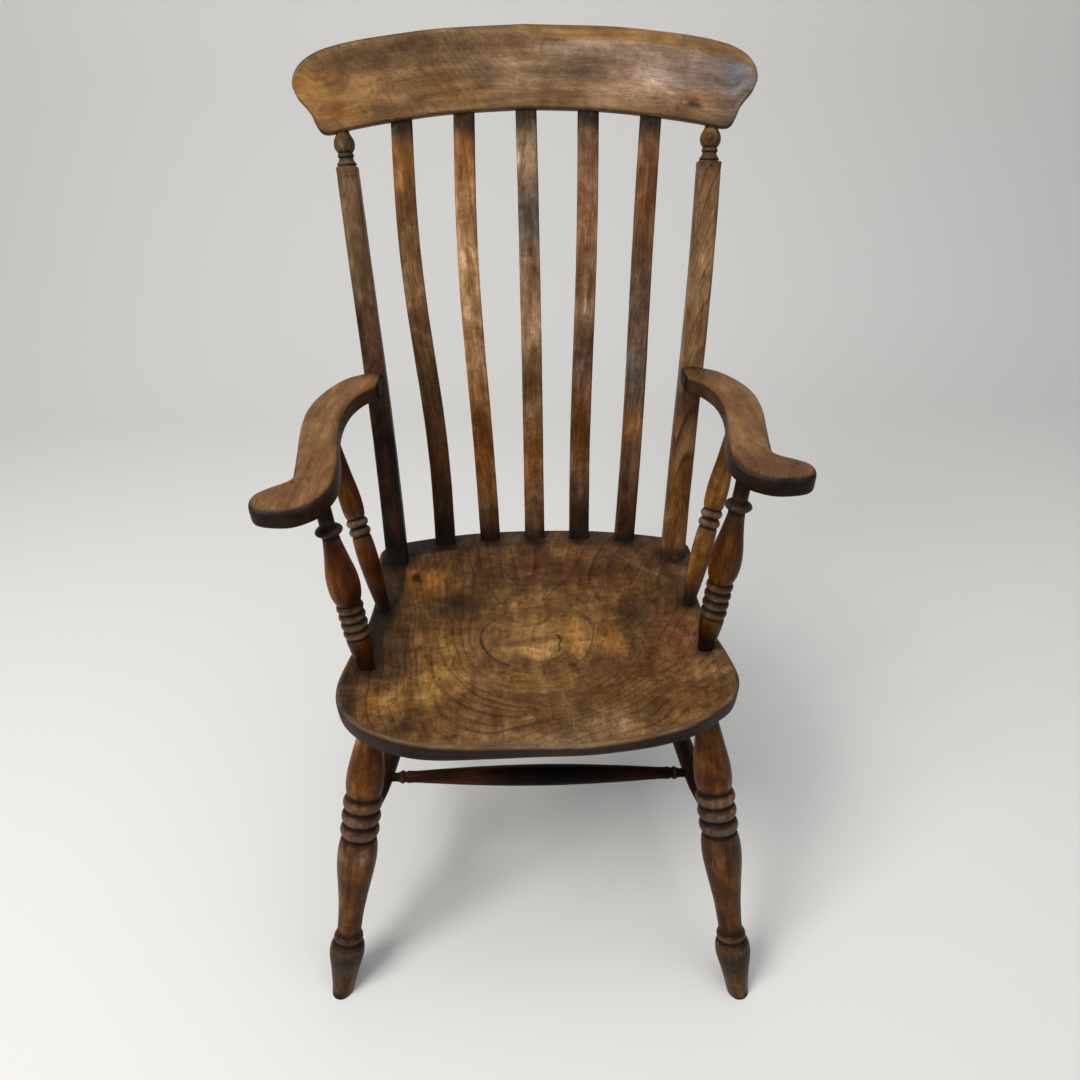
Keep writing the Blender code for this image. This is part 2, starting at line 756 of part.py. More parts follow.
def lath_rings(name, seat, top, grow):
    """Rings up one lath, from its end in the seat to its end in the crest rail."""
    matrix = axis_matrix(seat, top)
    length = (top - seat).length
    end_room = SOCKET_END_ROOM if grow else 0.0
    low = -(LATH_SEAT_DEPTH + end_room) / length
    high = 1.0 + (LATH_CREST_DEPTH + end_room) / length
    shares = [low] + [step / BACK_STEPS for step in range(BACK_STEPS + 1)] + [high]
    rings = []
    for share in shares:
        width = LATH_WIDTH_SEAT + (LATH_WIDTH_TOP - LATH_WIDTH_SEAT) * share + 2 * grow
        depth = LATH_THICKNESS + 2 * grow
        centre = bent_axis(name, seat, top, share)
        rings.append(section_ring(centre, matrix, width, depth, LATH_CORNER + grow, 3))
    return rings


def build_laths(seat, crest):
    middle = (LATH_COUNT - 1) / 2
    for number in range(LATH_COUNT):
        x = (number - middle) * LATH_PITCH_SEAT
        top_x = (number - middle) * LATH_PITCH_CREST
        foot = Vector((x, seat_back_edge(x) - LATH_FROM_BACK, SEAT_HEIGHT))
        top_z = crest_bottom(top_x)
        top = Vector((top_x, back_surface(top_x, top_z), top_z))
        name = f"lath_{number + 1}"
        add_object(name, loft(lath_rings(name, foot, top, 0.0)), wood_material("lath"))
        cutter = add_cutter(name, loft(lath_rings(name, foot, top, FIT)))
        cut(seat, cutter)
        cut(crest, cutter)


def post_rings(side, seat, top):
    """Rings up one post: tenon, bent shaft, then the turned collar, neck, ball and top tenon."""
    name = f"back_post_{side}"
    matrix = axis_matrix(seat, top)
    length = (top - seat).length
    ball_middle = length - POST_BALL_RADIUS * 0.93
    neck = ball_middle - POST_BALL_RADIUS * 1.05
    collar = neck - POST_COLLAR_RADIUS * 0.55
    shaft_end = collar - POST_COLLAR_RADIUS * 0.45
    rings = []
    heights = [-POST_TENON_DEPTH] + [shaft_end * step / BACK_STEPS for step in range(BACK_STEPS + 1)]
    for height in heights:
        taper = max(0.0, height) / shaft_end
        width = POST_WIDTH_SEAT[side] + (POST_WIDTH_TOP[side] - POST_WIDTH_SEAT[side]) * taper
        centre = bent_axis(name, seat, top, height / length)
        rings.append(section_ring(centre, matrix, width, POST_DEPTH, POST_CORNER, 4))
    turning = [
        (POST_COLLAR_RADIUS * 0.90, shaft_end + POST_COLLAR_RADIUS * 0.15),
        (POST_COLLAR_RADIUS, collar),
        (POST_COLLAR_RADIUS * 0.86, collar + POST_COLLAR_RADIUS * 0.21),
        (POST_NECK_RADIUS, neck),
        (POST_BALL_RADIUS * 0.86, ball_middle - POST_BALL_RADIUS * 0.58),
        (POST_BALL_RADIUS, ball_middle),
        (POST_BALL_RADIUS * 0.84, ball_middle + POST_BALL_RADIUS * 0.60),
        (POST_TOP_TENON_RADIUS, length - FIT),
        (POST_TOP_TENON_RADIUS, length + POST_TOP_TENON_DEPTH),
    ]
    for radius, height in turning:
        centre = bent_axis(name, seat, top, height / length)
        rings.append(section_ring(centre, matrix, 2 * radius, 2 * radius, radius, 4))
    return rings


def post_socket(side, seat, top, grow):
    """Cutter for a post's foot in the seat, with the named fit all round."""
    matrix = axis_matrix(seat, top)
    length = (top - seat).length
    width = POST_WIDTH_SEAT[side] + 2 * grow
    depth = POST_DEPTH + 2 * grow
    rings = []
    for height in (-POST_TENON_DEPTH - SOCKET_END_ROOM, 0.0, CUT_THROUGH):
        centre = bent_axis(f"back_post_{side}", seat, top, height / length)
        rings.append(section_ring(centre, matrix, width, depth, POST_CORNER + grow, 4))
    return loft(rings)


def build_posts(seat, crest):
    posts = {}
    for side in SIDE_SIGN:
        low, top = post_ends(side)
        name = f"back_post_{side}"
        posts[side] = add_object(name, loft(post_rings(side, low, top)), wood_material("back_post"))
        cut(seat, add_cutter(name + "_seat", post_socket(side, low, top, FIT)))
        matrix = axis_matrix(low, top)
        length = (top - low).length
        cut(crest, round_socket(
            name + "_crest", matrix, POST_TOP_TENON_RADIUS, length - CUT_THROUGH,
            length + POST_TOP_TENON_DEPTH + SOCKET_END_ROOM, 16
        ))
    return posts


def crest_section(x, bottom, top):
    """Section of the crest rail at x, leaning with the back and rounded on its four edges."""
    height = top - bottom
    middle = (top + bottom) / 2
    centre = Vector((x, back_surface(x, middle), middle))
    lean = math.atan(BACK_RAKE)
    turn = math.atan(-2 * BACK_SWEEP * x)
    frame = Matrix.Rotation(turn, 3, "Z") @ Matrix.Rotation(-lean, 3, "X")
    ring = rounded_rectangle(CREST_THICKNESS, height, CREST_EDGE_ROUND, 3)
    return [centre + frame @ Vector((0.0, y, z)) for y, z in ring]


def build_crest():
    """The crest rail as a loft of sections from end to end, closer together at the shaped ends."""
    rings = []
    for step in range(-CREST_STATIONS, CREST_STATIONS + 1):
        share = math.sin(step / CREST_STATIONS * math.pi / 2)
        x = share * CREST_HALF_LENGTH
        rings.append(crest_section(x, crest_bottom(x), crest_top(x)))
    return add_object("crest_rail", loft(rings), wood_material("crest_rail"))


# Arms

def arm_outline(run, sign, lean_out):
    """Outline of an arm in its own frame, from the post to the hand and back."""
    curve = smooth_path(ARM_OUTLINE, ARM_OUTLINE_STEPS)
    points = [(sign * (out + lean_out * share), -share * run) for share, out in curve]
    behind = POST_DEPTH / 2
    points.append((sign * ARM_OUTLINE[-1][1], behind))
    points.append((sign * ARM_OUTLINE[0][1], behind))
    return points


def build_arm(side):
    sign = SIDE_SIGN[side]
    frame, run = arm_frame(side)
    lean_out = abs(support_ends(side)[1].x) - abs(frame.to_translation().x)
    bm = bmesh.new()
    corners = [bm.verts.new((x, y, -ARM_THICKNESS)) for x, y in arm_outline(run, sign, lean_out)]
    lower = bm.faces.new(corners)
    extruded = bmesh.ops.extrude_face_region(bm, geom=[lower])["geom"]
    raised = [item for item in extruded if isinstance(item, bmesh.types.BMVert)]
    bmesh.ops.translate(bm, vec=(0.0, 0.0, ARM_THICKNESS), verts=raised)
    bmesh.ops.recalc_face_normals(bm, faces=bm.faces)
    rim = [edge for edge in bm.edges if abs(edge.verts[0].co.z - edge.verts[1].co.z) < 1e-6]
    bmesh.ops.bevel(bm, geom=rim, offset=ARM_EDGE_ROUND, segments=2, profile=0.5, affect="EDGES")
    saw_at_post(bm, frame, side)
    return add_object(f"arm_{side}", bm, wood_material("arm"), frame)


def saw_at_post(bm, frame, side):
    """Saw the arm's end to the plane of the post's front face, less the fit."""
    seat, top = post_ends(side)
    forward = -(axis_matrix(seat, top).to_3x3() @ Vector((0.0, 1.0, 0.0)))
    height_share = (ARM_REAR_HEIGHT - seat.z) / (top.z - seat.z)
    face = bent_axis(f"back_post_{side}", seat, top, height_share) + forward * (POST_DEPTH / 2 + FIT)
    into_arm = frame.inverted()
    geometry = list(bm.verts) + list(bm.edges) + list(bm.faces)
    bmesh.ops.bisect_plane(
        bm, geom=geometry, dist=1e-6, plane_co=into_arm @ face,
        plane_no=into_arm.to_3x3() @ forward, clear_inner=True
    )
    open_edges = [edge for edge in bm.edges if edge.is_boundary]
    bmesh.ops.holes_fill(bm, edges=open_edges, sides=0)


def ringed(shares, low, pitch, count, ring_radius, groove_radius):
    """Add a run of turned rings with grooves between them to a list of (share, radius)."""
    for ring in range(count):
        start = low + ring * pitch
        shares.append((start + 0.28 * pitch, ring_radius))
        shares.append((start + 0.72 * pitch, ring_radius))
        shares.append((start + 0.98 * pitch, groove_radius))


def front_support_shares():
    shares = [
        (0.030, SUPPORT_FOOT_RADIUS * 1.10),
        (0.100, SUPPORT_SHAFT_RADIUS * 0.88),
        (0.180, SUPPORT_SHAFT_RADIUS),
        (0.205, SUPPORT_GROOVE_RADIUS),
    ]
    ringed(shares, 0.210, 0.054, SUPPORT_RING_COUNT, SUPPORT_RING_RADIUS, SUPPORT_GROOVE_RADIUS)
    shares += [
        (0.470, SUPPORT_VASE_RADIUS * 0.93),
        (0.535, SUPPORT_VASE_RADIUS),
        (0.610, SUPPORT_VASE_RADIUS * 0.93),
        (0.700, SUPPORT_VASE_RADIUS * 0.73),
        (0.790, SUPPORT_NECK_RADIUS * 1.05),
        (0.826, SUPPORT_NECK_RADIUS),
        (0.834, SUPPORT_COLLAR_RADIUS * 0.90),
        (0.852, SUPPORT_COLLAR_RADIUS),
        (0.870, SUPPORT_COLLAR_RADIUS * 0.88),
        (0.880, SUPPORT_TOP_RADIUS),
    ]
    return shares


def rear_spindle_shares():
    shares = [
        (0.040, SPINDLE_FOOT_RADIUS * 1.05),
        (0.180, SPINDLE_SWELL_RADIUS * 0.86),
        (0.310, SPINDLE_SWELL_RADIUS),
        (0.400, SPINDLE_SWELL_RADIUS * 0.95),
        (0.425, SPINDLE_GROOVE_RADIUS),
    ]
    ringed(shares, 0.430, 0.048, SPINDLE_RING_COUNT, SPINDLE_RING_RADIUS, SPINDLE_GROOVE_RADIUS)
    shares += [
        (0.560, SPINDLE_SWELL_RADIUS * 0.96),
        (0.650, SPINDLE_SWELL_RADIUS * 0.96),
        (0.800, SPINDLE_SWELL_RADIUS * 0.80),
        (0.950, SPINDLE_TOP_RADIUS * 1.02),
    ]
    return shares


def build_turned_support(name, ends, shares, foot_radius, top_radius, finish, seat, arm):
    """A turned upright between seat and arm, with a round tenon at both ends."""
    low, top = ends
    matrix = axis_matrix(low, top)
    length = (top - low).length
    profile = [(foot_radius, -SUPPORT_SEAT_DEPTH), (foot_radius, 0.0)]
    profile += [(radius, share * length) for share, radius in shares]
    profile.append((top_radius, length))
    profile.append((top_radius, length + ARM_SOCKET_DEPTH))
    add_object(name, turned(profile, SUPPORT_SIDES), wood_material(finish), matrix)
    cut(seat, round_socket(
        name + "_seat", matrix, foot_radius, -SUPPORT_SEAT_DEPTH - SOCKET_END_ROOM,
        CUT_THROUGH, SUPPORT_SIDES
    ))
    cut(arm, round_socket(
        name + "_arm", matrix, top_radius, length - CUT_THROUGH,
        length + ARM_SOCKET_DEPTH + SOCKET_END_ROOM, SUPPORT_SIDES
    ))


def build_arms(seat, posts):
    for side in SIDE_SIGN:
        arm = build_arm(side)
        build_turned_support(
            f"front_arm_support_{side}", support_ends(side), front_support_shares(),
            SUPPORT_FOOT_RADIUS, SUPPORT_TOP_RADIUS, "front_arm_support", seat, arm
        )
        build_turned_support(
            f"rear_arm_spindle_{side}", spindle_ends(side), rear_spindle_shares(),
            SPINDLE_FOOT_RADIUS, SPINDLE_TOP_RADIUS, "rear_arm_spindle", seat, arm
        )
        build_screw(side, posts[side], arm)


def build_screw(side, post, arm):
    """The countersunk screw that holds an arm's end against the face of its post."""
    seat, top = post_ends(side)
    height = ARM_REAR_HEIGHT - SCREW_BELOW_ARM_TOP
    centre = bent_axis(f"back_post_{side}", seat, top, (height - seat.z) / (top.z - seat.z))
    square = axis_matrix(seat, top).to_3x3()
    forward = -(square @ Vector((0.0, 1.0, 0.0)))
    back_face = centre - forward * (POST_DEPTH / 2)
    matrix = axis_matrix_level(back_face, back_face + forward)
    shank = [
        (SCREW_HEAD_RADIUS, FIT),
        (SCREW_SHANK_RADIUS, SCREW_HEAD_HEIGHT),
        (SCREW_SHANK_RADIUS, SCREW_LENGTH - 2 * SCREW_SHANK_RADIUS),
        (SCREW_SHANK_RADIUS * 0.3, SCREW_LENGTH),
    ]
    add_object(f"arm_screw_{side}", turned(shank, SCREW_SIDES), steel_material(), matrix)
    room = FIT / math.cos(math.pi / SCREW_SIDES)
    hole = [
        (SCREW_HEAD_RADIUS + room + CUT_THROUGH / 2, -CUT_THROUGH / 2),
        (SCREW_HEAD_RADIUS + room, FIT),
        (SCREW_SHANK_RADIUS + room, SCREW_HEAD_HEIGHT + FIT),
        (SCREW_SHANK_RADIUS + room, SCREW_LENGTH + SOCKET_END_ROOM),
    ]
    cutter = add_cutter(f"arm_screw_{side}", turned(hole, SCREW_SIDES), matrix)
    cut(post, cutter)
    cut(arm, cutter)


clear_scene()
CHAIR = bpy.data.objects.new("chair", None)
bpy.context.collection.objects.link(CHAIR)
CHAIR.location = (0.0, -ORIGIN_BACK, 0.0)

seat_board = build_seat()
crest_rail = build_crest()
build_undercarriage(seat_board)
build_laths(seat_board, crest_rail)
back_posts = build_posts(seat_board, crest_rail)
build_arms(seat_board, back_posts)
bpy.context.view_layer.update()
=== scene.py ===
# Looks of the old lath-back armchair: fine surfaces, worn waxed wood, light and camera.
# Chair frame: X across, Y from the sitter's knees to the back, Z up. Metres.

import math
from types import SimpleNamespace

import bmesh
import bpy
import numpy as np
from mathutils import Matrix, Vector


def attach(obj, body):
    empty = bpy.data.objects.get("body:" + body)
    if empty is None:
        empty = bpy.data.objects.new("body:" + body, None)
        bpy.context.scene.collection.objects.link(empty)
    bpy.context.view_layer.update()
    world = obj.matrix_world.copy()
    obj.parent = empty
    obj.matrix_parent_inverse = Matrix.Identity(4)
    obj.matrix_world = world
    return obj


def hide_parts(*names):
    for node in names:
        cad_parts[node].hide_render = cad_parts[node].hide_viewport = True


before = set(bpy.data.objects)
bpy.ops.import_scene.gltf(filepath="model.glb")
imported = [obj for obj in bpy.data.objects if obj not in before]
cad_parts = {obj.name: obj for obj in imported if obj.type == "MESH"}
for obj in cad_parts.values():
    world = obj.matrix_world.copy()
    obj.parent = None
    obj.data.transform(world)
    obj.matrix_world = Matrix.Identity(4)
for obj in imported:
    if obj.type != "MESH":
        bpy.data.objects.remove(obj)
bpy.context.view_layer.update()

# The chair frame's origin in the world, and a cast over the painted colours
SHIFT = np.array([0.0, -0.0353, 0.0])
WARM = np.array([1.02, 0.95, 0.80])
SIDES = {"left": -1.0, "right": 1.0}


# Small numeric helpers

def lattice(ix, iy, iz, seed):
    """Repeatable value from 0 to 1 for each whole-number point of a lattice."""
    h = (ix * 374761393 + iy * 668265263 + iz * 2147483647 + seed * 1274126177) & 0xFFFFFFFF
    h = ((h ^ (h >> 13)) * 1103515245) & 0xFFFFFFFF
    h = ((h ^ (h >> 15)) * 2246822519) & 0xFFFFFFFF
    return ((h ^ (h >> 16)) & 0xFFFFFF) / float(0xFFFFFF)


def noise(points, scale, seed=0, octaves=2):
    """Smooth value noise from -1 to 1 at an array of points."""
    total = np.zeros(points.shape[:-1])
    reach, size = 0.0, 1.0
    for octave in range(octaves):
        p = points * np.asarray(scale) * (2.03 ** octave) + 17.3 * (octave + 1)
        cell = np.floor(p).astype(np.int64)
        t = p - cell
        t = t * t * (3.0 - 2.0 * t)
        value = 0.0
        for corner in np.ndindex(2, 2, 2):
            weight = 1.0
            for k, far in enumerate(corner):
                weight = weight * (t[..., k] if far else 1 - t[..., k])
            value = value + weight * lattice(*np.moveaxis(cell + corner, -1, 0), seed + octave * 31)
        total += (value * 2.0 - 1.0) * size
        reach += size
        size *= 0.5
    return total / reach


def step(low, high, value):
    """Smooth rise from 0 at low to 1 at high."""
    t = np.clip((value - low) / (high - low), 0.0, 1.0)
    return t * t * (3.0 - 2.0 * t)


def near(value, centre, reach):
    """Bell curve: 1 at the centre, fading over the reach."""
    return np.exp(-((value - centre) / reach) ** 2)


def spot(u, v, cu, cv, ru, rv):
    """Soft oval spot with its centre and its reach in both directions."""
    return np.exp(-((u - cu) / ru) ** 2 - ((v - cv) / rv) ** 2)


def srgb(red, green, blue):
    c = np.array([red, green, blue], float) / 255.0
    return np.where(c <= 0.04045, c / 12.92, ((c + 0.055) / 1.055) ** 2.4)


def blots(u, v, base, marks, tone=1.0):
    """Colour field: a base colour with soft stains. mark: u, v, reach u, reach v, sRGB, strength."""
    colour = np.ones(u.shape + (3,)) * srgb(*base)
    for cu, cv, ru, rv, rgb, strength in marks:
        weight = np.clip(strength * spot(u, v, cu, cv, ru, rv), 0.0, 1.0)
        colour += (srgb(*rgb) - colour) * weight[..., None]
    return colour * tone * WARM


def belt(v, reach, rgb, strength):
    """Mark for blots that goes all the way round or across a piece."""
    return 0.0, v, 9.0, reach, rgb, strength


def cover(paint, over, mask):
    """Paint over the colours in place where the mask is high."""
    paint += (over - paint) * mask[..., None]


def curve(points, steps):
    """Catmull-Rom curve through points of any dimension, ends kept."""
    pts = np.array(points, float)
    last = len(pts) - 1
    out = []
    for i in range(last):
        a, b, c, d = pts[max(i - 1, 0)], pts[i], pts[i + 1], pts[min(i + 2, last)]
        for t in np.arange(steps) / steps:
            out.append(0.5 * (2 * b + (c - a) * t + (2 * a - 5 * b + 4 * c - d) * t * t
                              + (3 * b - a - 3 * c + d) * t ** 3))
    out.append(pts[-1])
    return np.array(out)


def closed_curve(points, count):
    """Closed smooth curve through points, resampled to count points of even spacing."""
    pts = np.array(points, float)
    steps = 24
    fine = curve(np.vstack([pts[-2:], pts, pts[:3]]), steps)
    fine = fine[2 * steps:(2 + len(pts)) * steps + 1]
    run = np.r_[0.0, np.cumsum(np.linalg.norm(np.diff(fine, axis=0), axis=1))]
    want = np.linspace(0.0, run[-1], count, endpoint=False)
    return np.stack([np.interp(want, run, column) for column in fine.T], 1)


def table(pairs, x):
    """Smooth value read from a table of (x, value) pairs."""
    return straight(curve(pairs, 12), x)


def straight(pairs, x):
    """Value read from a table of (x, value) pairs, straight between them."""
    pairs = np.array(pairs, float)
    return np.interp(x, pairs[:, 0], pairs[:, 1])


def axes_along(start, end, sideways=(0.0, 1.0, 0.0)):
    """Rows: x axis square to the sideways direction, y axis, and z axis from start to end."""
    z = (end - start) / np.linalg.norm(end - start)
    x = np.cross(sideways, z)
    x /= np.linalg.norm(x)
    return np.array([x, np.cross(z, x), z])


def from_path(x, y, path):
    """Distance of each point to the nearest piece of a path."""
    best = np.full(x.shape, 9.0)
    for a, b in zip(path[:-1], path[1:]):
        dx, dy = b - a
        t = np.clip(((x - a[0]) * dx + (y - a[1]) * dy) / (dx * dx + dy * dy), 0.0, 1.0)
        best = np.minimum(best, np.hypot(x - a[0] - t * dx, y - a[1] - t * dy))
    return best


def rings_of(grain, pith, tilt, period, warp, seed):
    """Growth-ring count at each point of a piece whose fibres run along z of its grain frame."""
    wobble = noise(grain, (9.0, 9.0, 3.0), seed, 3) * warp
    x = grain[..., 0] - pith[0] - tilt[0] * grain[..., 2]
    y = grain[..., 1] - pith[1] - tilt[1] * grain[..., 2]
    return (np.sqrt(x * x + y * y) + wobble) / period + 40.0


# Meshes

def skin(name, rings, fields):
    """Mesh over an array of rings, with fan caps. fields: name to per-vertex values."""
    n, m, _ = rings.shape
    i = np.arange(n - 1)[:, None] * m
    j = np.arange(m)[None, :]
    k = (j + 1) % m
    faces = np.stack([i + j, i + k, i + m + k, i + m + j], -1).reshape(-1, 4).tolist()
    for cap, (ring, order) in enumerate(((0, -1), (n - 1, 1))):
        centre = n * m + cap
        faces += [(ring * m + a, ring * m + (a + 1) % m, centre)[::order] for a in range(m)]

    def with_caps(values):
        flat = values.reshape((n * m,) + values.shape[2:])
        return np.concatenate([flat, values[0].mean(0)[None], values[-1].mean(0)[None]])

    values = {key: with_caps(value) for key, value in fields.items()}
    return make_object(name, with_caps(rings), faces, values)


def make_object(name, points, faces, fields):
    mesh = bpy.data.meshes.new(name)
    mesh.from_pydata((points + SHIFT).tolist(), [], faces)
    mesh.update()
    for key, value in fields.items():
        value = np.asarray(value, np.float32)
        if key == "paint":
            full = np.ones((len(value), 4), np.float32)
            full[:, :3] = value
            mesh.attributes.new(key, "FLOAT_COLOR", "POINT").data.foreach_set("color", full.ravel())
        elif value.ndim == 2:
            mesh.attributes.new(key, "FLOAT_VECTOR", "POINT").data.foreach_set("vector", value.ravel())
        else:
            mesh.attributes.new(key, "FLOAT", "POINT").data.foreach_set("value", value)
    mesh.shade_smooth()
    return link(bpy.data.objects.new(name, mesh))


def link(item):
    bpy.context.scene.collection.objects.link(item)
    return item


def finish(piece, slot, node):
    piece.data.materials.append(MATERIALS[slot])
    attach(piece, "root")
    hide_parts(node)


# Materials

class Tree:
    """Small helper to write a node tree in few lines."""

    def __init__(self, name):
        self.material = bpy.data.materials.new(name)
        self.material.use_nodes = True
        self.tree = self.material.node_tree
        self.shader = self.tree.nodes["Principled BSDF"]

    def put(self, socket, value):
        if isinstance(value, bpy.types.NodeSocket):
            self.tree.links.new(value, socket)
        else:
            socket.default_value = value

    def shade(self, name, value):
        self.put(self.shader.inputs[name], value)

    def node(self, kind, **inputs):
        node = self.tree.nodes.new(kind)
        for key, value in inputs.items():
            self.put(node.inputs[key], value)
        return node

    def attribute(self, name, output="Fac"):
        node = self.node("ShaderNodeAttribute")
        node.attribute_name = name
        return node.outputs[output]

    def math(self, operation, a, b, clamp=False):
        node = self.tree.nodes.new("ShaderNodeMath")
        node.operation = operation
        node.use_clamp = clamp
        self.put(node.inputs[0], a)
        self.put(node.inputs[1], b)
        return node.outputs[0]

    def add(self, a, b, clamp=False):
        return self.math("ADD", a, b, clamp)

    def minus(self, a, b, clamp=False):
        return self.math("SUBTRACT", a, b, clamp)

    def times(self, a, b, clamp=False):
        return self.math("MULTIPLY", a, b, clamp)

    def noise(self, vector, scale, detail=2.0, rough=0.5, distortion=0.0):
        """Noise stretched by a scale along each axis."""
        stretched = self.tree.nodes.new("ShaderNodeVectorMath")
        stretched.operation = "MULTIPLY"
        self.put(stretched.inputs[0], vector)
        stretched.inputs[1].default_value = scale
        return self.node("ShaderNodeTexNoise", Scale=1.0, Detail=detail, Roughness=rough,
                         Distortion=distortion, Vector=stretched.outputs[0]).outputs["Fac"]

    def ramp(self, fac, stops):
        node = self.node("ShaderNodeValToRGB", Fac=fac)
        elements = node.color_ramp.elements
        while len(elements) < len(stops):
            elements.new(0.5)
        for element, (position, value) in zip(elements, stops):
            element.position = position
            element.color = (value, value, value, 1.0)
        return node.outputs["Color"]

    def mix(self, factor, a, b, blend="MIX"):
        node = self.tree.nodes.new("ShaderNodeMix")
        node.data_type = "RGBA"
        node.blend_type = blend
        for socket, value in ((0, factor), (6, a), (7, b)):
            self.put(node.inputs[socket], value)
        return node.outputs[2]

    def bump(self, strength, distance, height):
        node = self.node("ShaderNodeBump", Strength=strength, Distance=distance, Height=height)
        self.shade("Normal", node.outputs[0])


# Colour that dirt and painted shade darken towards, then the lift for worn wood and painted highlights.
GRIME_AND_SHADE = (0.0065, 0.0042, 0.0030, 1.0)
PALER = (1.9, 1.85, 1.8, 1.0)


def wood(name, ring_depth, fibre_depth, pore_depth, mottle_depth, rough, relief, gloss=0.15, length=1.0,
         spots=0.42, bare=(0.27, 0.205, 0.15), bare_share=0.30):
    """Old waxed wood. Depths say how much each figure darkens or lightens the painted colour.

    length stretches the blotches along the fibres. bare is the wood that wear lays open, and the colour of
    the painted highlights.
    """
    t = Tree(name)
    grain = t.attribute("grain", "Vector")
    paint = t.attribute("paint", "Color")
    ring, dirt_and_shade, wear_and_highlight, curl = (t.attribute(field) for field in ("ring", "dirt_and_shade", "wear_and_highlight", "curl"))

    fibre = t.noise(grain, (620.0, 620.0, 22.0), 3.0, 0.65)
    coarse = t.noise(grain, (170.0, 170.0, 9.0), 3.0, 0.6, 0.5)
    band = t.noise(grain, (62.0, 62.0, 5.0 / length), 2.0, 0.55, 0.3)
    pore = t.ramp(t.noise(grain, (1500.0, 1500.0, 90.0), 2.0, 0.6), [(0.56, 0.0), (0.68, 1.0)])
    mottle = t.noise(grain, (46.0, 46.0, 17.0 / length), 6.0, 0.66, 0.9)
    cloud = t.ramp(t.noise(grain, (17.0, 17.0, 9.0 / length), 4.0, 0.6, 0.6),
                   [(0.36, 0.36), (0.47, 0.46), (0.53, 0.55), (0.64, 0.64)])
    speck = t.ramp(t.noise(grain, (310.0, 310.0, 210.0), 3.0, 0.65), [(0.60, 0.0), (0.72, 1.0)])
    fleck = t.ramp(t.noise(grain, (420.0, 420.0, 260.0), 2.0, 0.6), [(0.66, 0.0), (0.76, 1.0)])
    break_up = t.noise(grain, (150.0, 150.0, 80.0), 4.0, 0.7)
    dents = t.noise(grain, (85.0, 85.0, 45.0), 3.0, 0.55)

    # Growth rings: bold in some places, fine and three times as many elsewhere
    bold = t.ramp(t.noise(grain, (19.0, 19.0, 9.0), 3.0, 0.55, 0.5), [(0.38, 0.0), (0.64, 1.0)])
    late = t.ramp(t.math("FRACT", ring, 0.0),
                  [(0.0, 0.50), (0.06, 0.0), (0.50, 0.10), (0.78, 0.38), (0.92, 1.0), (1.0, 0.50)])
    thin = t.ramp(t.math("FRACT", t.times(ring, 3.0), 0.0),
                  [(0.0, 0.5), (0.15, 0.0), (0.60, 0.2), (0.85, 1.0), (1.0, 0.5)])
    figure = t.times(t.times(late, t.add(bold, 0.18)), ring_depth)
    fine_figure = t.times(t.times(thin, t.minus(1.1, bold)), ring_depth * 0.42)

    shade = t.times(t.minus(1.0, figure, True), t.minus(1.0, fine_figure))
    for field, depth in ((fibre, fibre_depth), (coarse, fibre_depth), (band, mottle_depth),
                         (mottle, mottle_depth), (cloud, mottle_depth * 0.8)):
        spread = t.times(t.minus(field, 0.5), 6.6 * depth)
        shade = t.times(shade, t.math("POWER", 2.0, spread))
    for field, depth in ((pore, -pore_depth), (speck, -spots), (fleck, 1.15 * spots), (curl, 0.20)):
        shade = t.times(shade, t.add(t.times(field, depth), 1.0))
    red, green, blue = (t.math("POWER", shade, power) for power in (0.92, 1.06, 1.28))
    tint = t.node("ShaderNodeCombineColor", Red=red, Green=green, Blue=blue).outputs[0]
    colour = t.mix(1.0, paint, tint, "MULTIPLY")

    # Worn wood shows paler; the same mask also lays painted highlights on ridges, ring crests and rounded
    # edges.
    rubbed_and_highlit = t.times(wear_and_highlight, t.add(t.times(break_up, 2.4), -0.7, True), True)
    paler = t.mix(bare_share, t.mix(1.0, colour, PALER, "MULTIPLY"), (*bare, 1.0))
    colour = t.mix(rubbed_and_highlit, colour, paler)
    # Dirt darkens towards the grime colour; the same mask also lays painted shade in grooves, under the crest
    # rail and on the arms' sides.
    grime_and_shade = t.times(dirt_and_shade, t.add(t.times(break_up, 1.2), 0.35, True), True)
    t.shade("Base Color", t.mix(grime_and_shade, colour, t.mix(0.90, colour, GRIME_AND_SHADE)))

    dull = t.add(t.times(t.minus(mottle, 0.5), 0.35), rough)
    dull = t.add(dull, t.times(grime_and_shade, 0.25))
    t.shade("Roughness", t.add(dull, t.times(figure, 0.12), True))
    t.shade("Specular IOR Level", gloss)

    height = t.add(t.times(fibre, 0.40), t.times(dents, 0.9))
    height = t.minus(height, t.times(pore, 0.5))
    t.bump(relief, 0.0011, t.minus(height, t.times(figure, 0.5)))
    return t.material


def browned_steel():
    t = Tree("browned_steel")
    place = t.node("ShaderNodeTexCoord").outputs["Object"]
    rust = t.noise(place, (900.0, 900.0, 900.0), 4.0, 0.6)
    amount = t.ramp(rust, [(0.40, 0.0), (0.62, 1.0)])
    t.shade("Base Color", t.mix(amount, (0.055, 0.045, 0.038, 1.0), (0.050, 0.020, 0.008, 1.0)))
    t.shade("Roughness", t.add(t.times(rust, 0.3), 0.40))
    t.shade("Metallic", t.minus(0.9, t.times(amount, 0.8)))
    t.bump(0.4, 0.0004, rust)
    return t.material


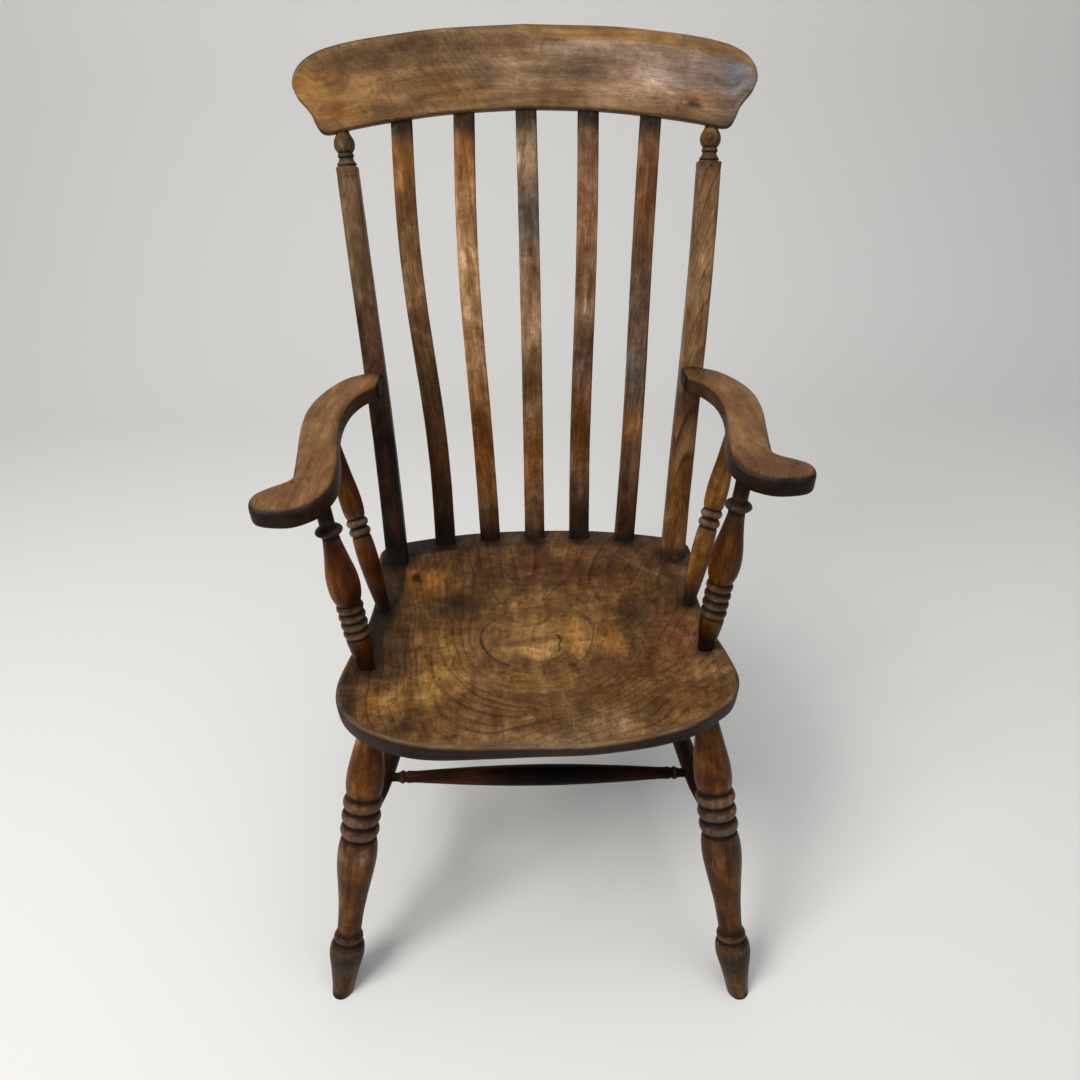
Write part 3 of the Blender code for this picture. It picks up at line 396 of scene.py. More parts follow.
MATERIALS = {
    "seat_elm": wood("waxed_elm_seat", 0.46, 0.10, 0.40, 0.46, 0.42, 0.50, gloss=0.11, length=0.26,
                     bare=(0.30, 0.235, 0.175), bare_share=0.45),
    "crest_elm": wood("waxed_elm_crest", 0.25, 0.12, 0.45, 0.38, 0.40, 0.42, length=0.45),
    "post_wood": wood("waxed_post", 0.62, 0.20, 0.45, 0.44, 0.38, 0.36, gloss=0.11, length=0.6),
    "lath_wood": wood("waxed_lath", 0.36, 0.22, 0.50, 0.48, 0.40, 0.42, gloss=0.11, length=0.45, spots=0.5),
    "arm_wood": wood("waxed_arm", 0.26, 0.12, 0.40, 0.30, 0.36, 0.32, gloss=0.09, length=0.5),
    "turned_upright_wood": wood("waxed_turning", 0.24, 0.16, 0.40, 0.58, 0.33, 0.34, gloss=0.09, length=0.6,
                                spots=0.55, bare=(0.155, 0.120, 0.098), bare_share=0.60),
    "leg_wood": wood("waxed_leg", 0.28, 0.17, 0.45, 0.70, 0.38, 0.42, gloss=0.11, length=0.5, spots=0.75,
                     bare=(0.170, 0.130, 0.105), bare_share=0.60),
    "stretcher_wood": wood("dark_stretcher", 0.20, 0.20, 0.40, 0.60, 0.50, 0.42, gloss=0.06, length=0.7),
}


# The chair's shared places

SEAT_Z, UNDER_Z = 0.430, 0.392
HALF, FRONT, BACK = 0.257, 0.219, 0.241
CREST_Z, CREST_H, CREST_HALF, CREST_DEEP = 1.0315, 0.0965, 0.3015, 0.0220
BACK_RAKE, BACK_BOW = 0.18, 0.31
CREST_UPPER = [(0, 0), (0.34, 0.0030), (0.56, 0.0090), (0.72, 0.0150), (0.83, 0.0215),
               (0.90, 0.0285), (0.955, 0.0385), (0.988, 0.0500), (1.0, 0.0600)]
CREST_LOWER = [(0, 0), (0.33, -0.0035), (0.60, -0.0115), (0.78, -0.0190), (0.865, -0.0240),
               (0.905, -0.0220), (0.925, -0.0125), (0.938, -0.0015), (0.960, 0.0085),
               (0.985, 0.0180), (1.0, 0.0300)]
LATH_PITCH, LATH_TOP_PITCH, LATH_INSET = 0.0722, 0.0836, 0.022
LATH_PLACES = range(-2, 3)
ARM_REAR_Z = 0.713
ARM_FRONT_Z = {"left": 0.694, "right": 0.708}
ARM_THICK = 0.026
POST_DEPTH = 0.021
POST_WIDE = {"left": (0.0335, 0.0290), "right": (0.0370, 0.0325)}
# Sideways bow and twist of the bent pieces, and the S-bend that they share in side view
BENDS = {
    "back_post_left": (0.0026, 0.0), "lath_1": (-0.0023, 0.0046), "lath_2": (-0.0057, 0.0021),
    "lath_3": (0.0010, 0.0), "lath_4": (0.0003, -0.0014), "lath_5": (0.0017, 0.0018),
    "back_post_right": (0.0025, 0.0),
}
S_BEND = 0.005


def back_y(x, z):
    return 0.347 + BACK_RAKE * (z - CREST_Z) - BACK_BOW * x * x


def crest_low(x):
    return CREST_Z + straight(CREST_LOWER, np.abs(x) / CREST_HALF)


def seat_back_edge(x):
    return BACK - 0.072 * (FRONT + BACK) * (x / (0.875 * HALF)) ** 2


def leg_ends(place, side):
    """Foot and top of a leg."""
    if place == "front":
        x, y = HALF - 0.043, -FRONT + 0.089
        out, run = {"left": (0.069, -0.144), "right": (0.055, -0.158)}[side]
    else:
        x, y = HALF - 0.090, BACK - 0.118
        out, run = 0.066, 0.140
    s = SIDES[side]
    return np.array([s * (x + out), y + run, 0.0]), np.array([s * x, y, UNDER_Z])


def post_ends(side):
    x = HALF - 0.0415
    top_x = x + {"left": 0.0295, "right": 0.0320}[side]
    top_z = float(crest_low(top_x)) - 0.0003
    s = SIDES[side]
    return np.array([s * x, BACK - 0.0835, SEAT_Z]), np.array([s * top_x, back_y(top_x, top_z), top_z])


def lath_ends(place):
    """Ends of a lath, place being 0 for the middle one."""
    x, top_x = place * LATH_PITCH, place * LATH_TOP_PITCH
    top_z = float(crest_low(top_x))
    return (np.array([x, seat_back_edge(x) - LATH_INSET, SEAT_Z]),
            np.array([top_x, back_y(top_x, top_z), top_z]))


def bent(name, start, end, share):
    """Centre line of a bent post or lath."""
    bow, twist = BENDS[name]
    turn = np.pi * np.clip(share, 0.0, 1.0)
    line = start + (end - start) * share[..., None]
    line[..., 0] += bow * np.sin(turn) + twist * np.sin(2 * turn)
    line[..., 1] += S_BEND * np.sin(2 * turn)
    return line


def support_ends(side):
    s = SIDES[side]
    x, y = HALF - 0.0325, -FRONT + {"left": 0.138, "right": 0.160}[side]
    back = {"left": 0.013, "right": 0.008}[side]
    return (np.array([s * x, y, SEAT_Z]),
            np.array([s * (x + 0.0213), y + back, ARM_FRONT_Z[side] - ARM_THICK]))


def arm_place(side):
    """Origin at the post's front face at the arm's top, tilt about X, and run to the support."""
    low, top = post_ends(side)
    axis = (top - low) / np.linalg.norm(top - low)
    centre = low + (top - low) * (ARM_REAR_Z - low[2]) / (top[2] - low[2])
    start = np.array([centre[0], centre[1] - POST_DEPTH / 2 / math.cos(math.atan2(axis[1], axis[2])),
                      ARM_REAR_Z])
    run = start[1] - support_ends(side)[1][1]
    tilt = math.atan2(ARM_REAR_Z - ARM_FRONT_Z[side], run)
    return start, tilt, run / math.cos(tilt)


def spindle_ends(side):
    s = SIDES[side]
    x, y = HALF - 0.038, BACK - 0.2045
    top_y = y + 0.0715
    start, _, run = arm_place(side)
    top_z = ARM_REAR_Z - ARM_THICK - (ARM_REAR_Z - ARM_FRONT_Z[side]) / run * (start[1] - top_y)
    return np.array([s * x, y, SEAT_Z]), np.array([s * (x + 0.0535), top_y, top_z])


# Turned pieces

def smooth(*points):
    """Smooth stretch of a turned profile through pairs of share and radius."""
    return curve(points, 7).tolist()


def bead(low, high, groove, top):
    """Bead of a turned profile between two shares, with its groove's radius and its own."""
    t = np.linspace(0.0, 1.0, 11)
    return np.stack([low + (high - low) * t, groove + (top - groove) * np.sin(np.pi * t) ** 0.70], 1).tolist()


def bulges(height, radius):
    """How far each row of a profile stands out of the same profile blurred."""
    fine = np.linspace(height[0], height[-1], 500)
    dense = np.interp(fine, height, radius)
    reach = 22
    kernel = np.exp(-0.5 * (np.arange(-reach, reach + 1) / (reach / 2.6)) ** 2)
    kernel /= kernel.sum()
    blurred = np.convolve(np.pad(dense, reach, mode="edge"), kernel, "valid")
    return np.interp(height, fine, dense - blurred)


def turned(name, start, end, profile, slot, base, marks, seed, sides=64, ends=(0.012, 0.010),
           dirt_ends=(0.05, 0.05), sideways=(0.0, 1.0, 0.0), ground=None, worn=1.0, tone=1.0):
    """A turned piece in the grain frame of its own axis.

    ends: tenon lengths added before and after. ground: height at which the foot is cut level.
    """
    axis = axes_along(start, end, sideways)
    length = np.linalg.norm(end - start)
    rows = np.array(profile)
    rows[:, 0] += np.arange(len(rows)) * 1e-6
    height, radius = rows[:, 0] * length, rows[:, 1]
    if ends[0]:
        height, radius = np.r_[-ends[0], height], np.r_[radius[0], radius]
    if ends[1]:
        height, radius = np.r_[height, length + ends[1]], np.r_[radius, radius[-1]]
    theta = np.linspace(0.0, 2 * np.pi, sides, endpoint=False)
    circle = np.stack([np.cos(theta), np.sin(theta)], -1)
    grain = np.concatenate([radius[:, None, None] * circle, np.repeat(height[:, None, None], sides, 1)], -1)
    share, around = np.meshgrid(height / length, theta / np.pi - 1.0, indexing="ij")

    shrink = -0.00035 * (0.5 + 0.5 * noise(grain, 60.0, seed, 2)) * worn
    local = grain.copy()
    local[..., :2] *= (1.0 + shrink / np.maximum(radius, 1e-4)[:, None])[..., None]
    points = start + local @ axis
    if ground is not None:
        lift = np.maximum(ground - points[..., 2], 0.0) / axis[2][2]
        points += lift[..., None] * axis[2]

    crests = np.clip(bulges(height, radius) / 0.0013, -1.0, 1.0)[:, None]
    blur = noise(grain, 70.0, seed + 5, 2)
    # Grime and painted shade in the grooves, with dirt at the ends.
    soil_and_shade = np.maximum.reduce([step(0.15, 0.80, -crests + 0.12 * blur),
                              1.0 - step(0.0, dirt_ends[0], share + 0.012 * blur),
                              step(1.0 - dirt_ends[1], 1.0, share + 0.012 * blur)])
    # Worn ring crests, paler as bare wood and as painted highlights; less on the support's collar.
    wear_and_highlight = step(0.40, 1.0, crests) * (0.85 + 0.6 * blur) * (1.0 - 0.7 * near(share, 0.853, 0.03))
    piece = skin(name + "_turning", points, {
        "grain": grain + np.array([0.013, 0.021, 0.37]) * seed,
        "paint": blots(around, share, base, marks, tone),
        "ring": rings_of(grain, (0.030, 0.018), (0.03, -0.05), 0.0036, 0.006, seed),
        "dirt_and_shade": soil_and_shade, "wear_and_highlight": np.clip(wear_and_highlight, 0, 1), "curl": noise(grain, (14.0, 14.0, 60.0), seed + 9, 2)})
    finish(piece, slot, name)


# Legs

LEG_VASE = [(0.223, 0.0172), (0.245, 0.0163), (0.320, 0.0179), (0.400, 0.0217), (0.470, 0.0254),
            (0.518, 0.0265), (0.555, 0.0254), (0.578, 0.0232)]
LEG_PROFILE = (
    smooth((-0.08, 0.0140), (0.0, 0.0147), (0.077, 0.0188), (0.128, 0.0227), (0.158, 0.0238),
           (0.182, 0.0224), (0.197, 0.0184))
    + bead(0.198, 0.222, 0.0178, 0.0199) + smooth(*LEG_VASE) + bead(0.583, 0.6295, 0.0206, 0.0261)
    + bead(0.6305, 0.677, 0.0206, 0.0261) + bead(0.678, 0.7245, 0.0206, 0.0261)
    + smooth((0.7255, 0.0222), (0.748, 0.0240), (0.772, 0.0248), (0.815, 0.0238), (0.870, 0.0204),
             (0.930, 0.0162), (0.975, 0.0143), (1.0, 0.0142)))
LEG_LOOKS = {
    "leg_front_left": ((82, 47, 13), [
        belt(0.14, 0.07, (44, 36, 31), 0.95), belt(0.01, 0.03, (78, 63, 46), 0.85),
        (-0.5, 0.38, 0.5, 0.12, (112, 63, 14), 0.85), belt(0.54, 0.04, (104, 78, 58), 0.8),
        (-0.5, 0.65, 9.0, 0.06, (66, 46, 32), 0.8), (-0.40, 0.87, 0.6, 0.10, (138, 92, 54), 0.95)]),
    "leg_front_right": ((76, 44, 11), [
        belt(0.14, 0.07, (30, 22, 16), 0.95), belt(0.01, 0.04, (72, 56, 39), 0.85),
        (-0.5, 0.38, 0.5, 0.12, (108, 62, 10), 0.85), belt(0.54, 0.04, (66, 50, 36), 0.8),
        (-0.5, 0.65, 9.0, 0.06, (60, 45, 33), 0.8), (-0.5, 0.87, 0.7, 0.10, (140, 92, 38), 0.95)]),
}
REAR_LEG_LOOK = ((62, 41, 23), [belt(0.1, 0.1, (52, 38, 26), 0.8)])


def build_legs():
    for number, (place, side) in enumerate((p, s) for p in ("front", "rear") for s in SIDES):
        name = f"leg_{place}_{side}"
        base, marks = LEG_LOOKS.get(name, REAR_LEG_LOOK)
        turned(name, *leg_ends(place, side), LEG_PROFILE, "leg_wood", base, marks, 11 + number, sides=72,
               ends=(0.0, 0.012), dirt_ends=(0.0001, 0.08), ground=0.0, worn=1.6)


# Arm supports and spindles

SUPPORT_PROFILE = (
    smooth((0.0, 0.0102), (0.030, 0.0110), (0.100, 0.0139), (0.180, 0.0158), (0.203, 0.0150))
    + bead(0.207, 0.2605, 0.0128, 0.0172) + bead(0.2615, 0.3145, 0.0128, 0.0172)
    + bead(0.3155, 0.3685, 0.0128, 0.0172) + bead(0.3695, 0.4225, 0.0128, 0.0172)
    + smooth((0.424, 0.0150), (0.470, 0.0186), (0.535, 0.0200), (0.610, 0.0186), (0.700, 0.0146),
             (0.790, 0.0110), (0.826, 0.0104))
    + bead(0.832, 0.874, 0.0104, 0.0167) + smooth((0.880, 0.0096), (0.94, 0.0095), (1.0, 0.0096)))
SPINDLE_PROFILE = (
    smooth((0.0, 0.0088), (0.040, 0.0095), (0.160, 0.0126), (0.290, 0.0144), (0.390, 0.0139),
           (0.425, 0.0128))
    + bead(0.428, 0.4775, 0.0107, 0.0152) + bead(0.4785, 0.527, 0.0107, 0.0152)
    + smooth((0.529, 0.0124), (0.545, 0.0138), (0.590, 0.0150), (0.670, 0.0146), (0.800, 0.0115),
             (0.950, 0.0091), (1.0, 0.0088)))
# Tone, base colour and the side's own marks
SUPPORT_LOOKS = {
    "left": (1.22, (66, 33, 4), [belt(0.06, 0.09, (40, 20, 7), 0.95), belt(0.32, 0.09, (66, 48, 36), 0.9)]),
    "right": (0.74, (72, 42, 9), [
        (-0.8, 0.62, 0.25, 0.08, (66, 46, 42), 0.85), (-0.5, 0.47, 0.35, 0.04, (128, 78, 26), 0.9),
        belt(0.06, 0.09, (24, 11, 5), 0.95), belt(0.32, 0.09, (60, 42, 29), 0.9)]),
}
SUPPORT_MARKS = [
    (-0.4, 0.54, 0.5, 0.10, (112, 66, 16), 0.9), (-0.9, 0.66, 0.25, 0.12, (52, 24, 16), 0.85),
    (-0.05, 0.58, 0.2, 0.10, (56, 26, 8), 0.7), belt(0.77, 0.06, (66, 38, 20), 0.8),
    belt(0.855, 0.035, (40, 33, 29), 0.95), belt(0.95, 0.07, (24, 15, 10), 0.95),
]
SPINDLE_LOOKS = {"left": (1.0, (60, 30, 6)), "right": (1.22, (92, 62, 28))}
SPINDLE_MARKS = [
    belt(0.04, 0.08, (24, 14, 8), 0.9), belt(0.48, 0.06, (82, 66, 54), 0.9),
    (-0.5, 0.30, 0.5, 0.12, (94, 58, 20), 0.8), (-0.6, 0.72, 0.5, 0.12, (88, 58, 30), 0.7),
    belt(0.97, 0.10, (40, 24, 13), 0.85),
]


def build_supports():
    for number, side in enumerate(SIDES):
        tone, base, marks = SUPPORT_LOOKS[side]
        turned(f"front_arm_support_{side}", *support_ends(side), SUPPORT_PROFILE, "turned_upright_wood",
               base, marks + SUPPORT_MARKS, 31 + number, dirt_ends=(0.06, 0.12), tone=tone)
        tone, base = SPINDLE_LOOKS[side]
        turned(f"rear_arm_spindle_{side}", *spindle_ends(side), SPINDLE_PROFILE, "turned_upright_wood",
               base, SPINDLE_MARKS, 41 + number, dirt_ends=(0.14, 0.05), tone=tone)


# Stretchers

JOINT_Z = {"front": 0.208, "rear": 0.178}
CROSS_SHARE = 0.29
SIDE_SWELL, CROSS_SWELL = 0.0150, 0.0157
NECK, SHOULDER_LENGTH = 0.0088, 0.035
STRETCHER_END = [(0.0, 0.0068), (0.008, 0.0069), (0.0135, 0.0097), (0.0165, 0.0090), (0.0185, 0.0077),
                 (0.0215, 0.0088), (0.0235, 0.0092)]


def leg_joint(place, side):
    """Centre and radius of a leg where its side stretcher enters."""
    foot, top = leg_ends(place, side)
    height = JOINT_Z[place]
    return foot + (top - foot) * height / UNDER_Z, straight(LEG_VASE, height / UNDER_Z)


def stretcher(name, first, second, swell, middle, tenon, seed, base, marks):
    """Neck, small bead, long swelling to the middle, and the same again at the far end."""
    (start, radius), (end, end_radius) = first, second
    along = (end - start) / np.linalg.norm(end - start)
    start, end = start + along * radius, end - along * end_radius
    length = np.linalg.norm(end - start)
    thickest = middle * length
    body = []
    for v in np.linspace(-1.0, 1.0, 15):
        reach = (thickest if v < 0 else length - thickest) - SHOULDER_LENGTH
        body.append((thickest + v * reach, NECK + (swell - NECK) * math.cos(v * math.pi / 2)))
    rows = STRETCHER_END + body + [(length - h, r) for h, r in reversed(STRETCHER_END)]
    profile = smooth(*[(h / length, r) for h, r in rows])
    turned(name, start, end, profile, "stretcher_wood", base, marks, seed, sides=48, ends=(tenon, tenon),
           sideways=(0.0, 0.0, 1.0))
    return start + (end - start) * middle


def build_stretchers():
    joints = []
    for number, side in enumerate(SIDES):
        middle = stretcher(f"side_stretcher_{side}", leg_joint("front", side), leg_joint("rear", side),
                           SIDE_SWELL, CROSS_SHARE, 0.004, 51 + number, (38, 22, 12),
                           [belt(0.29, 0.2, (46, 26, 13), 0.6)])
        joints.append((middle, SIDE_SWELL))
    # The cross stretcher's near-black base is painted shadow under the seat, and its pale brown belt near the
    # left end is a painted highlight.
    stretcher("cross_stretcher", *joints, CROSS_SWELL, 0.5, 0.003, 55, (4, 2, 1),
              [belt(0.12, 0.20, (64, 35, 19), 0.95), belt(0.88, 0.14, (36, 13, 4), 0.9)])


# Posts and laths

def rounded_section(width, depth, corner, count):
    """Points round a rounded rectangle for arrays of widths, depths and corner radii."""
    per, flat, spread = count // 4, 0.22, 0.92
    corner = np.minimum(corner, np.minimum(width, depth) / 2)
    wide, deep = width / 2 - corner, depth / 2 - corner
    points = []
    for quarter, (sx, sy) in enumerate(((1, 1), (-1, 1), (-1, -1), (1, -1))):
        for share in np.arange(per) / (per - 1):
            angle = math.pi / 2 * (quarter + np.clip((share - flat) / (1.0 - 2.0 * flat), 0.0, 1.0))
            inner = [max(0.0, share - 1.0 + flat) / flat, max(0.0, flat - share) / flat]
            along_x, along_y = inner if quarter in (0, 2) else inner[::-1]
            points.append(np.stack([sx * wide * (1.0 - spread * along_x) + corner * math.cos(angle),
                                    sy * deep * (1.0 - spread * along_y) + corner * math.sin(angle)], -1))
    return np.stack(points, 1)


def bar(name, start, end, rows, slot, look, seed, pith, dirt_and_shade, curl, grooves=()):
    """A bent bar such as a post or lath. rows: height, width, depth and corner radius.

    look: tone, base colour and marks. pith: place, tilt, ring period and warp.
    dirt_and_shade: shares between which the darkening at the low and the high end fades: dirt at the ends,
    and painted shadow of the crest rail at the laths' tops. grooves: height and reach.
    """
    axis = axes_along(start, end)
    heights, width, depth, corner = rows.T
    length = np.linalg.norm(end - start)
    section = rounded_section(width, depth, corner, 48)
    centre = bent(name, start, end, heights / length)
    grain = np.concatenate([section, np.repeat(heights[:, None, None], section.shape[1], 1)], -1)
    edge = np.linalg.norm(section, axis=-1)
    far = edge / np.maximum(np.hypot(width, depth)[:, None] / 2, 1e-5)
    scrape = 0.0005 * (0.5 + 0.5 * noise(grain, (40.0, 40.0, 30.0), seed, 2)) * step(0.62, 0.95, far)
    local = section * (1.0 - scrape / np.maximum(edge, 1e-5))[..., None]
    points = centre[:, None, :] + local[..., 0:1] * axis[0] + local[..., 1:2] * axis[1]

    tone, base, marks = look
    share = grain[..., 2] / length
    paint = blots(section[..., 0] / 0.018 + 0.25 * noise(grain, (45.0, 45.0, 18.0), seed + 1, 2),
                  share + 0.02 * noise(grain, (35.0, 35.0, 12.0), seed + 2, 2), base, marks, tone)
    blur = noise(grain, (60.0, 60.0, 25.0), seed + 3, 2)
    wear_and_highlight = step(0.80, 0.98, far) * (0.25 + 0.6 * blur)
    low, high = dirt_and_shade
    soil_and_shade = np.maximum(1.0 - step(*low, share + 0.02 * blur), step(*high, share + 0.01 * blur))
    for groove, reach in grooves:
        soil_and_shade = np.maximum(soil_and_shade, near(heights, groove, reach)[:, None])
    piece = skin(name + "_wood", points, {
        "grain": grain + np.array([0.017, 0.029, 0.41]) * seed, "paint": paint,
        "ring": rings_of(grain, pith[:2], pith[2:4], pith[4], pith[5], seed), "dirt_and_shade": soil_and_shade,
        "wear_and_highlight": np.clip(wear_and_highlight, 0, 1), "curl": curl * noise(grain, (20.0, 20.0, 75.0), seed + 7, 2)})
    finish(piece, slot, name)


LATH_WIDE, LATH_DEEP, LATH_CORNER = (0.0325, 0.0290), 0.0110, 0.0034
# Tone, base colour and marks of each lath; the greyish pale belts are painted sheen of the wax over the
# wood's own colours
LATH_LOOKS = [
    (0.90, (66, 45, 27), [
        belt(0.90, 0.08, (120, 78, 36), 0.95), belt(0.70, 0.13, (122, 92, 64), 0.95),
        belt(0.24, 0.10, (60, 36, 14), 0.8), belt(0.03, 0.11, (24, 12, 5), 0.95)]),
    (0.98, (124, 90, 60), [
        belt(0.93, 0.10, (132, 86, 44), 0.85), belt(0.65, 0.16, (172, 136, 104), 0.95),
        (0.3, 0.965, 0.45, 0.03, (52, 30, 16), 0.8), (-0.4, 0.885, 0.16, 0.03, (60, 36, 20), 0.7),
        belt(0.25, 0.12, (98, 54, 16), 0.95), belt(0.02, 0.10, (38, 18, 6), 0.95)]),
    (1.12, (108, 84, 62), [
        belt(0.955, 0.085, (122, 103, 84), 1.0), belt(0.785, 0.060, (84, 76, 70), 1.2),
        belt(0.66, 0.05, (124, 102, 84), 0.8), belt(0.56, 0.06, (148, 118, 94), 0.9),
        belt(0.40, 0.06, (78, 60, 44), 0.85), belt(0.22, 0.12, (98, 63, 28), 0.9),
        belt(0.02, 0.04, (58, 40, 26), 0.8)]),
    (0.95, (96, 70, 54), [
        belt(0.80, 0.13, (136, 100, 76), 0.9), belt(0.61, 0.07, (134, 106, 86), 0.9),
        belt(0.46, 0.06, (78, 62, 56), 0.8), belt(0.29, 0.10, (102, 64, 26), 0.9),
        belt(0.04, 0.10, (28, 15, 6), 0.95)]),
    (1.02, (86, 64, 48), [
        belt(0.85, 0.12, (118, 80, 54), 0.9), (0.3, 0.62, 9.0, 0.08, (92, 76, 66), 0.85),
        belt(0.44, 0.08, (84, 72, 66), 0.9), belt(0.31, 0.05, (128, 90, 60), 0.9),
        belt(0.05, 0.14, (54, 32, 12), 0.9)]),
]


def build_laths():
    for place, look in zip(LATH_PLACES, LATH_LOOKS):
        start, end = lath_ends(place)
        length = np.linalg.norm(end - start)
        heights = np.linspace(-0.010, length + 0.010, 150)
        width = LATH_WIDE[0] + (LATH_WIDE[1] - LATH_WIDE[0]) * np.clip(heights / length, 0, 1)
        rows = np.column_stack([heights, width, np.full((150, 2), (LATH_DEEP, LATH_CORNER))])
        # The darkening at each lath's top is painted shadow of the crest rail; at its foot it is dirt.
        bar(f"lath_{place + 3}", start, end, rows, "lath_wood", look, 63 + place,
            (0.012 * place, 0.030, 0.01, 0.035, 0.0034, 0.004), ((0.0, 0.04), (0.935, 0.99)), 0.5)


POST_CORNER, SHOULDER_DEPTH = 0.0058, 0.0252
SHOULDER_TALL, COLLAR_DOWN, NECK_DOWN, BALL_GAP, BALL_DOWN = 0.0140, 0.0063, 0.0077, 0.0147, 0.0130
# Share of the shoulder's height, and how much narrower and thinner it is there
SHOULDER = [(0.12, 0.0, 0.0), (0.3, 0.0, 0.0), (0.5, 0.0, 0.0), (0.7, 0.0, 0.0), (0.86, 0.0, 0.0),
            (0.95, 0.0002, 0.0), (0.985, 0.0010, 0.0008), (1.0, 0.0026, 0.0022)]
# Tone, base colour and marks of each post; the near-black belts low on the left post are painted shadow
POST_LOOKS = {
    "left": (0.78, (98, 75, 55), [
        belt(0.943, 0.013, (52, 42, 35), 0.9), belt(0.978, 0.016, (70, 49, 34), 0.9),
        belt(0.82, 0.10, (114, 90, 66), 0.8), (0.4, 0.70, 0.35, 0.10, (74, 52, 38), 0.85),
        (-0.5, 0.60, 0.5, 0.09, (70, 50, 38), 0.8), (0.4, 0.52, 0.5, 0.05, (104, 72, 52), 0.8),
        belt(0.455, 0.03, (86, 70, 60), 0.8), belt(0.14, 0.28, (27, 16, 11), 1.5),
        belt(0.02, 0.09, (12, 8, 6), 1.0), (0.1, 0.25, 0.35, 0.05, (68, 38, 24), 0.8),
        (0.2, 0.11, 0.4, 0.045, (64, 33, 20), 0.75), (-0.3, 0.17, 0.3, 0.03, (50, 28, 17), 0.7)]),
    "right": (0.92, (120, 92, 66), [
        belt(0.943, 0.013, (50, 42, 37), 0.9), belt(0.978, 0.016, (88, 63, 43), 0.9),
        belt(0.90, 0.06, (100, 74, 52), 0.8), belt(0.62, 0.10, (128, 100, 75), 0.7),
        belt(0.40, 0.05, (64, 44, 32), 0.9), belt(0.15, 0.18, (102, 68, 32), 0.95)]),
}


def post_turning(shaft, collar, ball, length):
    """Heights and radii of the small ring, collar, neck and ball at the top of a post."""
    return curve([(shaft + 0.0006, 0.0121), (shaft + 0.0014, 0.0117), (shaft + 0.0022, 0.0127),
                  (shaft + 0.0034, 0.0132), (shaft + 0.0046, 0.0127), (collar + 0.0010, 0.0107),
                  (collar + 0.0034, 0.0098), (collar + 0.0046, 0.0090), (collar + 0.0056, 0.0103),
                  (collar + 0.0074, 0.0108), (collar + 0.0094, 0.0105), (collar + 0.0108, 0.0093),
                  (ball - 0.0098, 0.0108), (ball - 0.0062, 0.0131), (ball - 0.0010, 0.0140),
                  (ball + 0.0040, 0.0131), (ball + 0.0085, 0.0108), (length, 0.0086),
                  (length + 0.010, 0.0062)], 6)[1:]


def build_posts():
    for number, side in enumerate(SIDES):
        start, end = post_ends(side)
        length = np.linalg.norm(end - start)
        ball = length - BALL_DOWN
        collar = ball - BALL_GAP - NECK_DOWN
        shaft = collar - COLLAR_DOWN
        low_wide, top_wide = POST_WIDE[side]
        plain = np.linspace(-0.010, shaft - SHOULDER_TALL, 150)
        wide = low_wide + (top_wide - low_wide) * np.clip(plain / shaft, 0, 1)
        share, narrower, thinner = np.array(SHOULDER).T
        deep = POST_DEPTH + (SHOULDER_DEPTH - POST_DEPTH) * step(0.0, 0.9, share) - thinner
        height, radius = post_turning(shaft, collar, ball, length).T
        rows = np.vstack([
            np.column_stack([plain, wide, np.full((150, 2), (POST_DEPTH, POST_CORNER))]),
            np.column_stack([shaft - SHOULDER_TALL + SHOULDER_TALL * share, top_wide - 0.0006 - narrower,
                             deep, np.full(len(share), POST_CORNER)]),
            np.column_stack([height, 2 * radius, 2 * radius, radius])])
        bar(f"back_post_{side}", start, end, rows, "post_wood", POST_LOOKS[side], 71 + number,
            (0.006 * SIDES[side], 0.034, 0.02, 0.055, 0.0042, 0.007), ((0.0, 0.045), (0.996, 1.0)), 0.7,
            grooves=((shaft + 0.0008, 0.0012), (collar + 0.0046, 0.0013), (collar + 0.0108, 0.0014)))


# Crest rail

CREST_FACE = [
    (-0.27, 0.030, 0.04, 0.03, (140, 102, 58), 0.9), (-0.20, 0.062, 0.05, 0.018, (84, 62, 40), 0.9),
    (-0.20, 0.030, 0.03, 0.016, (142, 104, 58), 0.85), (-0.10, 0.075, 0.05, 0.010, (78, 60, 44), 0.85),
    (-0.24, 0.000, 0.05, 0.02, (140, 100, 54), 0.85), (-0.13, 0.045, 0.04, 0.03, (104, 78, 50), 0.85),
    (-0.095, 0.015, 0.04, 0.02, (132, 98, 58), 0.8), (-0.045, 0.046, 0.035, 0.03, (96, 75, 57), 0.85),
    (0.005, 0.040, 0.03, 0.035, (134, 112, 88), 0.8), (0.072, 0.044, 0.04, 0.016, (96, 84, 78), 0.85),
    (0.125, 0.020, 0.05, 0.02, (154, 126, 104), 0.85), (0.160, 0.045, 0.04, 0.02, (148, 128, 122), 0.8),
    (0.060, 0.068, 0.05, 0.010, (132, 114, 102), 0.8), (0.150, 0.068, 0.05, 0.012, (142, 124, 116), 0.85),
    # The blue-grey mark at the rail's right end is a painted highlight.
    (0.225, 0.036, 0.05, 0.03, (132, 118, 116), 0.85), (0.278, 0.040, 0.028, 0.04, (108, 107, 119), 0.95),
    (0.222, 0.010, 0.022, 0.009, (160, 116, 84), 0.8), (0.262, -0.012, 0.02, 0.014, (108, 92, 84), 0.8),
]
CREST_TOP = [
    (-0.25, 0.05, 0.07, 0.05, (96, 70, 42), 0.9), (-0.08, 0.09, 0.08, 0.03, (104, 78, 48), 0.85),
    (0.12, 0.09, 0.08, 0.03, (134, 98, 56), 0.9), (0.25, 0.06, 0.05, 0.03, (120, 92, 60), 0.8),
]
CREST_BACK = [(0.1, 0.04, 0.12, 0.05, (98, 70, 44), 0.8), (-0.2, 0.03, 0.08, 0.05, (72, 52, 34), 0.8)]
SLANT_PERIOD, LEVEL_PERIOD = 0.0105, 0.0062


